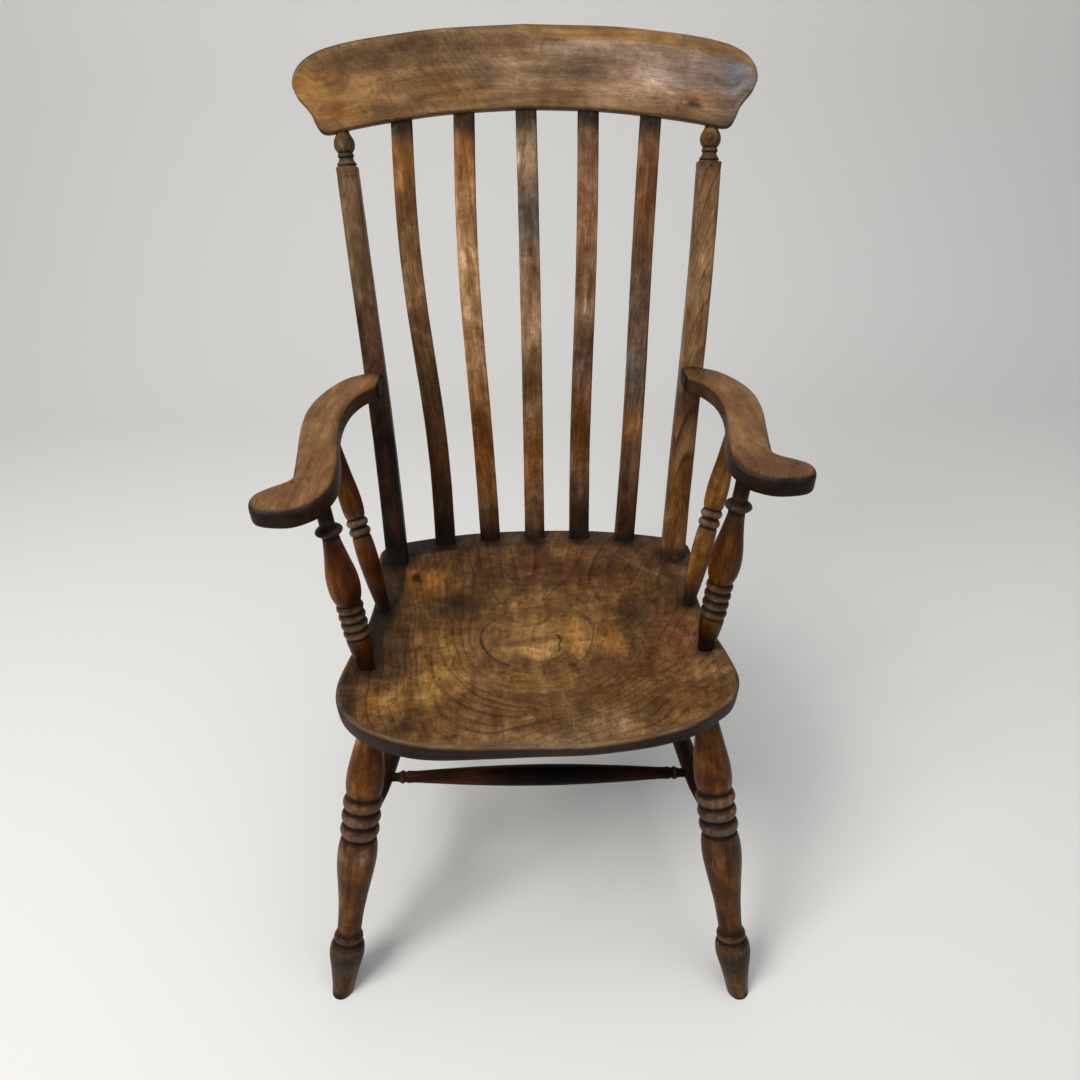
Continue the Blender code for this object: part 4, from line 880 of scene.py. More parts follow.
def crest_sections(count, around):
    """Places along the rail, its heights, each point's place in the section, and the worn top edge's cut."""
    share = np.sin(np.linspace(-1, 1, count) * math.pi / 2)
    x = share * CREST_HALF
    low = CREST_Z + table(CREST_LOWER, np.abs(share))
    top = CREST_Z + CREST_H - table(CREST_UPPER, np.abs(share))
    height = top - low
    section = rounded_section(np.full(count, CREST_DEEP), height, np.full(count, 0.0048), around)
    bevel = 0.006 + 0.013 * step(-0.06, 0.06, x) + 0.003 * noise(np.stack([x, x * 0, x * 0], -1), 14.0, 3, 2)
    bevel = (bevel * (1.0 - 0.5 * step(0.25, 0.30, np.abs(x))))[:, None]
    thick, tall = section[..., 0], section[..., 1]
    cut = np.clip(1.0 - (height[:, None] / 2 - tall) / bevel, 0.0, 1.0)
    thick = np.where(thick < 0, np.maximum(thick, cut * 0.34 * bevel - CREST_DEEP / 2), thick)
    return x, (top + low) / 2, height[:, None], thick, tall, cut


def crest_points(x, middle, thick, tall):
    """Places of the rail's points in the chair frame: bowed in plan and leaning back."""
    lean = math.atan(BACK_RAKE)
    turn = np.arctan(-2 * BACK_BOW * x)
    sideways, forwards, level = -np.sin(turn), np.cos(turn), np.ones(len(x))
    along_y = np.stack([sideways * math.cos(lean), forwards * math.cos(lean), -math.sin(lean) * level], -1)
    along_z = np.stack([sideways * math.sin(lean), forwards * math.sin(lean), math.cos(lean) * level], -1)
    centre = np.stack([x, back_y(x, middle), middle], -1)
    return centre[:, None] + thick[..., None] * along_y[:, None] + tall[..., None] * along_z[:, None]


def crest_paint(u, w, front, cut, blur):
    """Colours of the face, the worn top band and the back."""
    paint = blots(u, w, (118, 92, 66), CREST_FACE)
    cover(paint, blots(u, w, (122, 94, 62), CREST_TOP), 0.95 * step(0.02, 0.14, cut + 0.03 * blur))
    cover(paint, blots(u, w, (84, 60, 38), CREST_BACK), 1.0 - front)
    return paint * 0.97


def build_crest():
    count, around = 400, 120
    x, middle, height, thick, tall, cut = crest_sections(count, around)
    u = np.repeat(x[:, None], around, 1)
    w = middle[:, None] + tall - CREST_Z
    grain = np.stack([thick, tall, u], -1)
    blur = noise(grain, (60.0, 60.0, 30.0), 13, 2)
    front = step(0.002, -0.004, thick)
    left = 1.0 - step(-0.12, 0.02, u)
    wu = u + 0.020 * noise(grain, (34.0, 34.0, 22.0), 15, 4)
    ww = w + 0.010 * noise(grain, (50.0, 50.0, 26.0), 16, 4)

    # Growth rings slant on the left half and lie level on the right, round a knot
    slant = 0.60 * u + 0.80 * w + 0.0075 * noise(grain, (16.0, 30.0, 14.0), 17, 3)
    wobble = 0.0040 * noise(grain, (22.0, 34.0, 10.0), 8, 3)
    ring = left * slant / SLANT_PERIOD + (1.0 - left) * (w + 0.06 * u * u + wobble) / LEVEL_PERIOD + 30.0
    ring += 2.2 * spot(u, w, 0.212, 0.006, 0.018, 0.010)
    patches = step(0.0, 0.35, noise(grain, (10.0, 26.0, 13.0), 9, 2))
    streak = step(0.35, 0.95, np.sin(2 * np.pi * slant / SLANT_PERIOD)) * patches * left

    knot = np.maximum(spot(wu, ww, 0.217, 0.005, 0.0095, 0.0040),
                      0.7 * spot(wu, ww, 0.200, 0.001, 0.0035, 0.0030)) * front
    scuff = spot(wu, ww, 0.086, 0.070, 0.007, 0.0035)
    smudge = spot(wu, ww, -0.158, 0.070, 0.011, 0.0050)
    dark = spot(wu, ww, 0.075, 0.046, 0.030, 0.0045) + 0.8 * spot(wu, ww, -0.055, 0.050, 0.020, 0.010)
    low_edge = step(0.0055, 0.0015, height / 2 + tall)
    top_edge = step(0.0035, 0.0008, height / 2 - tall) * (0.35 + 0.65 * left)
    right_end = step(0.10, 0.20, u) * step(0.24, 0.28, u) * near(cut, 0.10, 0.10) * front
    dirt_and_shade = np.maximum.reduce([1.9 * knot, 0.55 * smudge * front, 0.45 * dark * front * (0.8 + blur),
                              0.40 * streak * front * (0.8 + 0.8 * blur), 0.60 * low_edge,
                              0.55 * top_edge, 0.55 * right_end])
    # Painted highlight along the ridge of the worn top band, stronger to the right, beside a pale scuff of
    # real wear.
    ridge_highlight = near(cut, 0.05, 0.07) * front
    wear_and_highlight = np.clip(np.maximum(1.1 * scuff, 0.45 * ridge_highlight * (0.8 + blur) * (1.0 - 0.7 * left)), 0, 1) * front

    dents = 0.0004 * (0.5 + 0.5 * noise(grain, (50.0, 45.0, 25.0), 5, 2)) + 0.0008 * knot
    points = crest_points(x, middle, thick + np.where(thick < 0, dents, -dents), tall)
    piece = skin("crest_rail_board", points, {
        "grain": grain, "paint": crest_paint(wu, ww, front, cut, blur), "ring": ring,
        "dirt_and_shade": np.clip(dirt_and_shade, 0, 1), "wear_and_highlight": wear_and_highlight, "curl": 0.8 * noise(grain, (60.0, 120.0, 30.0), 12, 2)})
    finish(piece, "crest_elm", "crest_rail")


# Seat board

FRONT_SHAPE = {
    "right": [(0.0, 0.0), (0.23, 0.002), (0.46, 0.017), (0.61, 0.035), (0.74, 0.061), (0.86, 0.105),
              (0.95, 0.150), (1.0, 0.225)],
    "left": [(0.0, 0.0), (0.23, -0.003), (0.46, -0.004), (0.61, 0.007), (0.74, 0.033), (0.87, 0.077),
             (0.965, 0.142), (1.0, 0.224)],
}
REAR_SHAPE = [(0.980, 0.330), (0.935, 0.450), (0.918, 0.580), (0.932, 0.720), (0.961, 0.830),
              (0.950, 0.893), (0.875, 0.928), (0.63, 0.966), (0.34, 0.992), (0.0, 1.0)]
# Inset and height of the chamfer under the edge, then inset and drop of the rounded upper edge
CHAMFER = [(0.0135, 0.392), (0.0122, 0.3924), (0.0105, 0.3937), (0.0040, 0.4000), (0.0022, 0.4022),
           (0.0012, 0.4046), (0.0007, 0.4075), (0.0005, 0.4110), (0.0003, 0.4145)]
LIP = [(0.0, 0.0062), (0.0002, 0.0045), (0.0008, 0.0030), (0.0018, 0.0018), (0.0031, 0.0009),
       (0.0048, 0.0003)]
TOP, EDGE, UNDERSIDE = 0, 1, 2


def seat_outline(count):
    left, right = ([(sign * x * HALF, y * (FRONT + BACK) - FRONT) for x, y in FRONT_SHAPE[side] + REAR_SHAPE]
                   for side, sign in SIDES.items())
    return closed_curve(right + left[::-1][1:-1], count)


def edge_distance(x, y, outline):
    """Distance of each point to the seat's outline."""
    corners = outline[::2]
    return from_path(x, y, np.vstack([corners, corners[:1]]))


def rim_width(y):
    """Width of the rim round the hollow, more at the back."""
    return 0.030 + 0.015 * step(-0.05, 0.17, y)


def seat_top(x, y, distance):
    """Height of the saddled top."""
    run = np.clip((distance - rim_width(y)) / 0.090, 0.0, 1.0)
    ahead = step(-0.08, -0.19, y)
    bowl = (1.0 - (1.0 - run) ** 2.6) * (1.0 - ahead) + run ** 2 * ahead
    forward = np.clip(-y, 0.0, None) / FRONT
    dip = forward ** 3 * np.clip(1.0 - ((x - 0.05) / 0.20) ** 2, 0.0, 1.0)
    shallow = 1.0 - 0.35 * step(-0.05, -0.2, y)
    return SEAT_Z - 0.0125 * bowl * shallow - 0.0100 * dip * step(0.0, 0.06, distance + 0.055)


def seat_rings(outline):
    """Rings from the middle of the underside over the edge to the middle of the top."""
    ahead, behind = np.roll(outline, -1, 0), np.roll(outline, 1, 0)
    normal = np.stack([ahead[:, 1] - behind[:, 1], behind[:, 0] - ahead[:, 0]], -1)
    normal /= np.linalg.norm(normal, axis=1)[:, None]
    rim = seat_top(*outline.T, np.zeros(len(outline)))
    parts = [(UNDERSIDE, (outline - normal * 0.012) * scale, UNDER_Z) for scale in (0.02, 0.35, 0.7, 0.93)]
    parts += [(EDGE, outline - normal * inset, z) for inset, z in CHAMFER]
    parts += [(EDGE, outline - normal * inset, rim - drop) for inset, drop in LIP]
    scales = 1.0 - np.linspace(0.0, 1.0, 148) ** 1.08
    scales[-1] = 0.003
    for scale in scales:
        x, y = ((outline - normal * 0.0062) * scale).T
        parts.append((TOP, np.stack([x, y], -1), seat_top(x, y, edge_distance(x, y, outline))))
    rings = [np.column_stack([flat, np.broadcast_to(z, len(outline))]) for _, flat, z in parts]
    return np.array(rings), np.array([kind for kind, _, _ in parts])[:, None], rim


# Growth-ring levels of the seat board in millimetres: arches open to the back round an island

FIGURE = {
    8.0: [(-24, 117), (-43, 195), (-3, 147)],
    6.7: [(-5, -24), (-35, -24), (35, -30)],
    7.0: [(-24, 83), (-61, 149), (-67, 191), (23, 137), (37, 182)],
    6.0: [(-78, -18), (-71, 18), (24, 33), (67, 21), (78, -23), (61, -64), (20, -85), (-24, -84),
          (-59, -60), (-24, 48), (-70, 105), (-88, 178), (26, 94), (72, 176)],
    5.5: [(-24, 37), (130, 30)],
    5.0: [(-98, -17), (-77, -72), (-41, -102), (-2, -106), (46, -89), (88, -58), (101, -17), (98, 91),
          (-100, 98)],
    4.0: [(-117, -3), (-99, -72), (-66, -107), (2, -127), (53, -117), (104, -78), (130, 66), (160, 30)],
    3.0: [(-130, -16), (-112, -78), (-83, -119), (-40, -141), (10, -145), (61, -132), (144, -20)],
    2.0: [(-145, -2), (-128, -71), (-99, -127), (-56, -154), (9, -159), (68, -144), (160, -50)],
    1.0: [(-155, -1), (-137, -83), (-115, -138), (-72, -168), (-3, -171), (153, -80), (199, -13)],
    0.0: [(-166, 21), (-151, -83), (-130, -144), (-104, -183), (-55, -198), (-23, -188), (17, -176),
          (80, -156)],
    -1.0: [(-176, 22), (-162, -82), (-147, -154), (-126, -198), (-74, -209), (-15, -204), (136, -135),
           (205, -82)],
    -2.0: [(-185, 22), (-173, -82), (-159, -160), (-142, -198)],
    -3.0: [(-198, 22), (-186, -81), (-172, -170), (138, -180), (225, -114)],
    -5.0: [(-222, -146), (-224, -61), (191, -182)],
}
# Bold lines of the seat in millimetres: width, strength and points; strength below 0 is a pale line
SEAT_LINES = [
    (1.9, 1.05, [(-60, 25), (-75, 3), (-78, -18), (-71, -41), (-55, -63), (-38, -74)]),
    (2.0, 1.0, [(-133, -125), (-130, -138), (-122, -161), (-104, -183), (-79, -194), (-55, -198),
                (-23, -188), (-7, -183), (17, -176)]),
    (1.4, 0.60, [(-93, 159), (-75, 106), (-51, 60), (-24, 45), (1, 55), (26, 89), (53, 127)]),
    (1.4, 0.60, [(-67, 186), (-47, 139), (-24, 105), (1, 107)]),
    (1.5, 0.65, [(83, -124), (123, -104), (155, -96), (181, -82), (200, -62)]),
    (1.4, 0.55, [(25, 61), (54, 42), (76, 13), (78, -23), (66, -57)]),
    (1.8, 0.75, [(-139, -16), (-125, -64), (-96, -109), (-65, -140), (-23, -158)]),
    (1.8, 0.70, [(-145, -50), (-133, -102), (-107, -141), (-72, -165), (-23, -175)]),
    (1.4, 0.55, [(-185, 22), (-177, -62), (-165, -125), (-154, -182)]),
    (1.4, 0.50, [(-165, -36), (-157, -101), (-145, -154), (-139, -193)]),
    (1.6, 0.45, [(54, -172), (56, -206)]), (1.6, 0.50, [(71, -167), (76, -199)]),
    (1.6, 0.45, [(87, -165), (96, -195)]), (1.6, 0.45, [(102, -157), (113, -185)]),
    (1.6, 0.60, [(61, 71), (65, 80), (75, 80), (79, 71), (75, 62), (65, 62), (61, 71)]),
    (2.6, -0.60, [(130, 171), (158, 145), (185, 113), (201, 83)]),
    (2.4, -0.65, [(-89, -91), (-66, -110), (-40, -122), (2, -126), (45, -120)]),
]
CRACK = [(28, -12), (33, -24), (30, -32), (31, -40), (28, -47)]


def seat_figure(x, y, place):
    """Growth-ring count over the seat, a thin-plate surface through the levels above."""
    marks = np.array([(px / 1000, py / 1000, level) for level, spots in FIGURE.items() for px, py in spots])

    def plate(ax, ay):
        far = np.maximum(np.hypot(ax[:, None] - marks[None, :, 0], ay[:, None] - marks[None, :, 1]), 1e-6)
        return far * far * np.log(far)

    count = len(marks)
    system = np.zeros((count + 3, count + 3))
    system[:count, :count] = plate(marks[:, 0], marks[:, 1]) + np.eye(count) * 2e-5
    system[:count, count:] = np.column_stack([np.ones(count), marks[:, :2]])
    system[count:, :count] = system[:count, count:].T
    weights = np.linalg.solve(system, np.r_[marks[:, 2], 0.0, 0.0, 0.0])
    level, slope_x, slope_y = weights[count:]
    flat = place * (1.0, 1.0, 0.0)
    wx = (x + 0.0045 * noise(flat, (22.0, 22.0, 1.0), 21, 3)).ravel()
    wy = (y + 0.0045 * noise(flat, (22.0, 22.0, 1.0), 22, 3)).ravel()
    field = plate(wx, wy) @ weights[:count] + level + slope_x * wx + slope_y * wy
    return field.reshape(x.shape) * 1.5 + 0.35 * noise(flat, (9.0, 9.0, 1.0), 23, 2) + 40.0


def line_mask(x, y, width, points):
    """Soft line through points given in millimetres."""
    path = curve(points, 5) if len(points) > 2 else np.array(points, float)
    return near(from_path(x, y, path / 1000.0) * 1000.0, 0.0, width)


# Seat colours, dirt and wear, with painted shade on the edge and rear rim and a painted highlight on the lip

SEAT_STAINS = [
    (-0.13, -0.09, 0.035, 0.09, (150, 110, 58), 0.95), (-0.005, 0.000, 0.060, 0.050, (166, 126, 78), 0.95),
    (-0.045, -0.02, 0.026, 0.034, (112, 82, 46), 0.8), (0.052, -0.023, 0.020, 0.032, (182, 134, 76), 0.95),
    (-0.006, -0.100, 0.065, 0.026, (134, 100, 56), 0.9), (-0.04, -0.169, 0.08, 0.022, (112, 82, 52), 0.8),
    (-0.198, -0.141, 0.022, 0.034, (160, 114, 62), 0.95), (-0.163, -0.190, 0.034, 0.020, (60, 42, 27), 0.9),
    (-0.238, -0.14, 0.018, 0.06, (62, 46, 37), 0.9), (-0.222, 0.015, 0.022, 0.04, (32, 25, 20), 0.9),
    (-0.222, -0.030, 0.032, 0.070, (40, 31, 25), 1.0), (-0.190, -0.06, 0.014, 0.08, (96, 70, 43), 0.7),
    (-0.112, 0.058, 0.032, 0.026, (62, 42, 25), 0.9), (0.018, 0.146, 0.07, 0.035, (90, 56, 36), 0.85),
    (-0.077, 0.150, 0.035, 0.035, (98, 66, 42), 0.85), (0.116, 0.133, 0.060, 0.035, (74, 43, 25), 0.9),
    (-0.168, 0.116, 0.030, 0.028, (184, 122, 56), 1.0), (-0.150, 0.088, 0.018, 0.016, (120, 80, 38), 0.85),
    (0.134, 0.030, 0.026, 0.030, (62, 43, 27), 0.9), (0.186, 0.060, 0.034, 0.040, (74, 50, 34), 0.85),
    (0.190, -0.034, 0.034, 0.060, (118, 76, 50), 0.9), (0.103, -0.024, 0.018, 0.045, (154, 106, 54), 0.9),
    (0.136, -0.073, 0.040, 0.026, (106, 68, 38), 0.8), (0.095, -0.088, 0.024, 0.022, (82, 55, 31), 0.8),
    (0.178, -0.136, 0.035, 0.040, (120, 84, 52), 0.85), (0.082, -0.186, 0.040, 0.020, (140, 112, 84), 0.9),
    (0.016, -0.210, 0.035, 0.010, (166, 140, 112), 0.9), (-0.039, -0.206, 0.07, 0.012, (122, 92, 60), 0.7),
    (0.236, -0.08, 0.014, 0.045, (122, 98, 74), 0.85), (0.05, 0.085, 0.04, 0.02, (112, 80, 48), 0.7),
    (-0.03, 0.07, 0.04, 0.02, (108, 80, 50), 0.7), (0.0, -0.048, 0.035, 0.016, (172, 132, 80), 0.85),
    (0.0, 0.055, 0.05, 0.028, (146, 108, 68), 0.85),
]
RIM_STAINS = [
    (-0.19, 0.16, 0.08, 0.09, (38, 30, 24), 0.95), (0.03, 0.225, 0.11, 0.03, (104, 76, 54), 0.9),
    (-0.222, 0.02, 0.03, 0.05, (30, 24, 19), 0.95), (0.20, 0.15, 0.05, 0.06, (112, 84, 58), 0.9),
]
EDGE_STAINS = [
    (-0.24, -0.10, 0.03, 0.05, (80, 55, 38), 0.9), (0.02, -0.21, 0.12, 0.03, (40, 25, 11), 0.9),
    (0.15, -0.18, 0.05, 0.05, (24, 16, 8), 0.9), (0.24, -0.10, 0.03, 0.05, (78, 59, 38), 0.8),
]


def seat_paint(seat):
    """Colours of the saddled top, its rear rim, the edge and the underside."""
    paint = blots(seat.wx, seat.wy, (108, 78, 46), SEAT_STAINS)
    width = rim_width(seat.y)
    # The rear rim is painted darker: its own stains, and painted shade that marks the crease into the hollow.
    rear_rim = step(width + 0.0025, width - 0.0025, seat.distance + 0.002 * seat.blur)
    rear_rim = rear_rim * step(-0.05, 0.03, seat.y - 0.06 * (seat.x > 0))
    cover(paint, blots(seat.wx, seat.wy, (70, 52, 38), RIM_STAINS), 0.88 * rear_rim * seat.top)
    # The edge below the lip and the chamfer are painted dark: stains, and painted shade on this face.
    low_edge = seat.edge * step(0.0012, 0.0052, seat.drop)
    cover(paint, blots(seat.wx, seat.wy, (46, 28, 13), EDGE_STAINS), 0.95 * low_edge)
    cover(paint, srgb(46, 32, 22), 0.9 * seat.under)
    return paint * 0.72


def joints_on_seat():
    """Place of each upright on the seat, and how far the dirt reaches round it."""
    for ends, reach in ((support_ends, 0.017), (spindle_ends, 0.018), (post_ends, 0.028)):
        for side in SIDES:
            yield ends(side)[0], reach
    for place in LATH_PLACES:
        yield lath_ends(place)[0], 0.022


def seat_dirt(seat, crack, knot):
    dirt_and_shade = np.zeros_like(seat.x)
    for foot, reach in joints_on_seat():
        dirt_and_shade = np.maximum(dirt_and_shade, 1.15 * near(np.hypot(seat.x - foot[0], seat.y - foot[1]), 0.0, reach))
    for width, strength, points in SEAT_LINES:
        if strength > 0:
            mask = line_mask(seat.x + 0.0008 * seat.blur, seat.y, width, points) * seat.top
            dirt_and_shade = np.maximum(dirt_and_shade, strength * mask * (0.75 + 0.5 * seat.blur))
    smudge = spot(seat.wx, seat.wy, 0.134, 0.030, 0.018, 0.016)
    smudge = (smudge + 0.8 * spot(seat.wx, seat.wy, -0.112, 0.055, 0.024, 0.014)) * seat.top
    specks = step(0.45, 0.70, noise(seat.place, 95.0, 44, 2))
    dirt_and_shade = np.maximum.reduce([dirt_and_shade, 1.4 * knot, 1.1 * crack, 0.55 * smudge * (0.7 + 0.8 * seat.blur),
                              0.5 * specks])
    # The edge and underside are darkened all over: dirt, and on the edge painted shade as well.
    dirt_and_shade = np.where(seat.top, dirt_and_shade, np.maximum(dirt_and_shade, 0.22 + 0.9 * np.maximum(seat.blur, -0.1)))
    return np.clip(dirt_and_shade, 0, 1)


def seat_wear(seat):
    """Pale scratches, the rubbed lip along the front that also serves as its painted highlight, and the
    sitter's polish.
    """
    wear_and_highlight = np.zeros_like(seat.x)
    for width, strength, points in SEAT_LINES:
        if strength < 0:
            mask = line_mask(seat.x + 0.0008 * seat.blur, seat.y, width, points) * seat.top
            wear_and_highlight = np.maximum(wear_and_highlight, -strength * mask * (0.8 + 0.5 * seat.blur))
    # The lip along the front is worn wood and a painted highlight of the rounded edge.
    lip = near(seat.distance, 0.0030, 0.0020) * (seat.under == 0) * step(0.0060, 0.0030, seat.drop)
    lip = lip * (0.45 + 0.9 * step(-0.15, 0.25, noise(seat.place, 48.0, 45, 3)))
    lip = lip * (1.15 + 0.9 * seat.blur) * (0.15 + 0.85 * step(0.03, -0.08, seat.y))
    polish = 0.20 * spot(seat.x, seat.y, 0.0, -0.03, 0.12, 0.09) * (0.6 + seat.blur) * seat.top
    return np.clip(np.maximum.reduce([wear_and_highlight, lip, polish]), 0, 1)


def seat_points():
    """The seat's points and what their colours, dirt and wear depend on."""
    outline = seat_outline(560)
    rings, kinds, rim = seat_rings(outline)
    x, y, z = np.moveaxis(rings, -1, 0)
    full = np.ones_like(x)
    return SimpleNamespace(
        x=x, y=y, z=z, place=rings, drop=rim - z, distance=edge_distance(x, y, outline),
        top=(kinds == TOP) * full > 0, edge=(kinds == EDGE) * full, under=(kinds == UNDERSIDE) * full,
        blur=noise(rings, 35.0, 26, 3), wx=x + 0.012 * noise(rings, (30.0, 30.0, 1.0), 41, 4),
        wy=y + 0.012 * noise(rings, (30.0, 30.0, 1.0), 42, 4))


def build_seat():
    seat = seat_points()
    crack = line_mask(seat.x, seat.y, 1.5, CRACK) * seat.top
    knot = spot(seat.wx, seat.wy, -0.176, 0.120, 0.0100, 0.012) * seat.top
    figure = seat_figure(seat.x, seat.y, seat.place)
    side_figure = seat.z / 0.0110 + 1.2 * noise(seat.place, (9.0, 9.0, 30.0), 25, 2)

    shallow = 0.0008 * noise(seat.place, (16.0, 16.0, 1.0), 24, 3) * step(0.004, 0.03, seat.distance)
    worn_rings = 0.00022 * (np.cos(figure * 2 * np.pi) * 0.5 + 0.5) * step(0.01, 0.03, seat.distance)
    relief = shallow - worn_rings - 0.0009 * crack - 0.0008 * knot - 0.0003
    height = seat.z + np.where(seat.top, relief, 0.0)
    across = seat.x * np.where(seat.edge > 0, 0.16, 0.9) + 0.02 * noise(seat.place, (7.0, 7.0, 1.0), 27, 2)
    piece = skin("seat_board", np.stack([seat.x, seat.y, height], -1), {
        "grain": np.stack([across, height, seat.y * (1.0 - 0.5 * seat.edge)], -1),
        "paint": seat_paint(seat), "ring": np.where(seat.top, figure, side_figure),
        "dirt_and_shade": seat_dirt(seat, crack, knot), "wear_and_highlight": seat_wear(seat),
        "curl": 0.5 * noise(seat.place, (30.0, 70.0, 20.0), 28, 2) * seat.top})
    finish(piece, "seat_elm", "seat")


# Arms

# Share of the run from post to support, and distance outwards, round the arm's outline
ARM_SHAPE = [
    (0.000, 0.0145), (0.056, 0.0372), (0.181, 0.0562), (0.330, 0.0649), (0.504, 0.0616), (0.720, 0.0485),
    (0.860, 0.0400), (0.945, 0.0375), (1.005, 0.0581), (1.047, 0.0695), (1.106, 0.0700), (1.160, 0.0580),
    (1.176, 0.0264), (1.150, 0.0060), (1.090, -0.0090), (0.960, -0.0168), (0.783, -0.0078), (0.609, 0.0059),
    (0.449, 0.0130), (0.310, 0.0122), (0.209, 0.0038), (0.1426, -0.0092), (0.118, -0.0155),
]
ARM_TRIM, ARM_GAP = 0.0002, 0.0003
TOP_ROUND, LOW_ROUND = 0.0078, 0.0040
ARM_LOOKS = {
    "left": ((118, 86, 55), [
        (0.02, 0.0, 0.07, 0.05, (76, 50, 30), 0.85), (0.25, 0.04, 0.14, 0.05, (124, 91, 58), 0.8),
        (0.55, 0.04, 0.16, 0.05, (134, 99, 66), 0.8), (0.82, 0.015, 0.06, 0.016, (138, 94, 56), 0.6),
        (1.05, 0.03, 0.10, 0.05, (112, 80, 54), 0.85), (1.10, 0.055, 0.05, 0.012, (128, 98, 78), 0.8)]),
    "right": ((118, 85, 55), [
        (0.02, 0.0, 0.10, 0.05, (68, 45, 29), 0.95), (0.30, 0.04, 0.14, 0.05, (122, 88, 57), 0.8),
        (0.60, 0.04, 0.16, 0.05, (130, 95, 63), 0.8), (1.05, 0.03, 0.12, 0.06, (96, 65, 43), 0.85),
        (1.00, 0.00, 0.05, 0.012, (92, 62, 42), 0.7), (0.85, 0.03, 0.08, 0.02, (126, 96, 66), 0.8)]),
}
# Colours of the sides of each hand, near black: painted shade
HAND_LOOKS = {
    "left": ((34, 18, 9), [(1.10, 0.056, 0.16, 0.034, (4, 2, 2), 1.2)]),
    "right": ((26, 14, 9), [(1.15, 0.03, 0.06, 0.03, (8, 5, 4), 0.95),
                            (1.06, -0.005, 0.05, 0.02, (44, 28, 26), 0.6)]),
}
# Dark spots on the top: distance outwards, share of the run, reach and strength
ARM_SPOTS = {
    "left": [(0.030, 0.98, 0.0024, 1.0)],
    "right": [(0.052, 1.06, 0.0024, 1.0), (0.020, 0.90, 0.0020, 0.55), (0.026, 0.92, 0.0020, 0.55),
              (0.044, 1.08, 0.0020, 0.55), (0.058, 1.02, 0.0020, 0.55)],
}


def arm_board(outline):
    """Board over an outline, with rounded edges, in the arm's own frame."""
    bm = bmesh.new()
    lower = bm.faces.new([bm.verts.new((x, y, -ARM_THICK)) for x, y in outline])
    raised = bmesh.ops.extrude_face_region(bm, geom=[lower])["geom"]
    raised = [v for v in raised if isinstance(v, bmesh.types.BMVert)]
    bmesh.ops.translate(bm, vec=(0, 0, ARM_THICK), verts=raised)
    bmesh.ops.recalc_face_normals(bm, faces=bm.faces)
    for level, offset in ((0.0, TOP_ROUND), (-ARM_THICK, LOW_ROUND)):
        rim = [e for e in bm.edges if all(abs(v.co.z - level) < 1e-6 for v in e.verts)]
        bmesh.ops.bevel(bm, geom=rim, offset=offset, segments=5, profile=0.5, affect="EDGES")
    return bm


def cut_at_post(bm, side, place):
    """Cut the board's rear end flush with the front of the bent post."""
    low, top = post_ends(side)
    forward = Vector(-axes_along(low, top)[1])
    share = np.array([(ARM_REAR_Z - low[2]) / (top[2] - low[2])])
    face = Vector(bent(f"back_post_{side}", low, top, share)[0]) + forward * (POST_DEPTH / 2 + ARM_GAP)
    inverse = place.inverted()
    bmesh.ops.bisect_plane(bm, geom=list(bm.verts) + list(bm.edges) + list(bm.faces), dist=1e-6,
                           plane_co=inverse @ face, plane_no=inverse.to_3x3() @ forward, clear_inner=True)
    bmesh.ops.holes_fill(bm, edges=[e for e in bm.edges if e.is_boundary], sides=0)
    bmesh.ops.recalc_face_normals(bm, faces=bm.faces)


def evened(bm):
    """Points and faces of the board remade with small even faces and softened."""
    mesh = bpy.data.meshes.new("arm_rough")
    bm.to_mesh(mesh)
    bm.free()
    rough = link(bpy.data.objects.new("arm_rough", mesh))
    remesh = rough.modifiers.new("even", "REMESH")
    remesh.mode = "VOXEL"
    remesh.voxel_size = 0.0017
    soften = rough.modifiers.new("soften", "SMOOTH")
    soften.factor = 0.5
    soften.iterations = 4
    even = bpy.data.meshes.new_from_object(rough.evaluated_get(bpy.context.evaluated_depsgraph_get()))
    bpy.data.objects.remove(rough)
    points = np.zeros(len(even.vertices) * 3)
    even.vertices.foreach_get("co", points)
    faces = [list(p.vertices) for p in even.polygons]
    bpy.data.meshes.remove(even)
    return points.reshape(-1, 3), faces


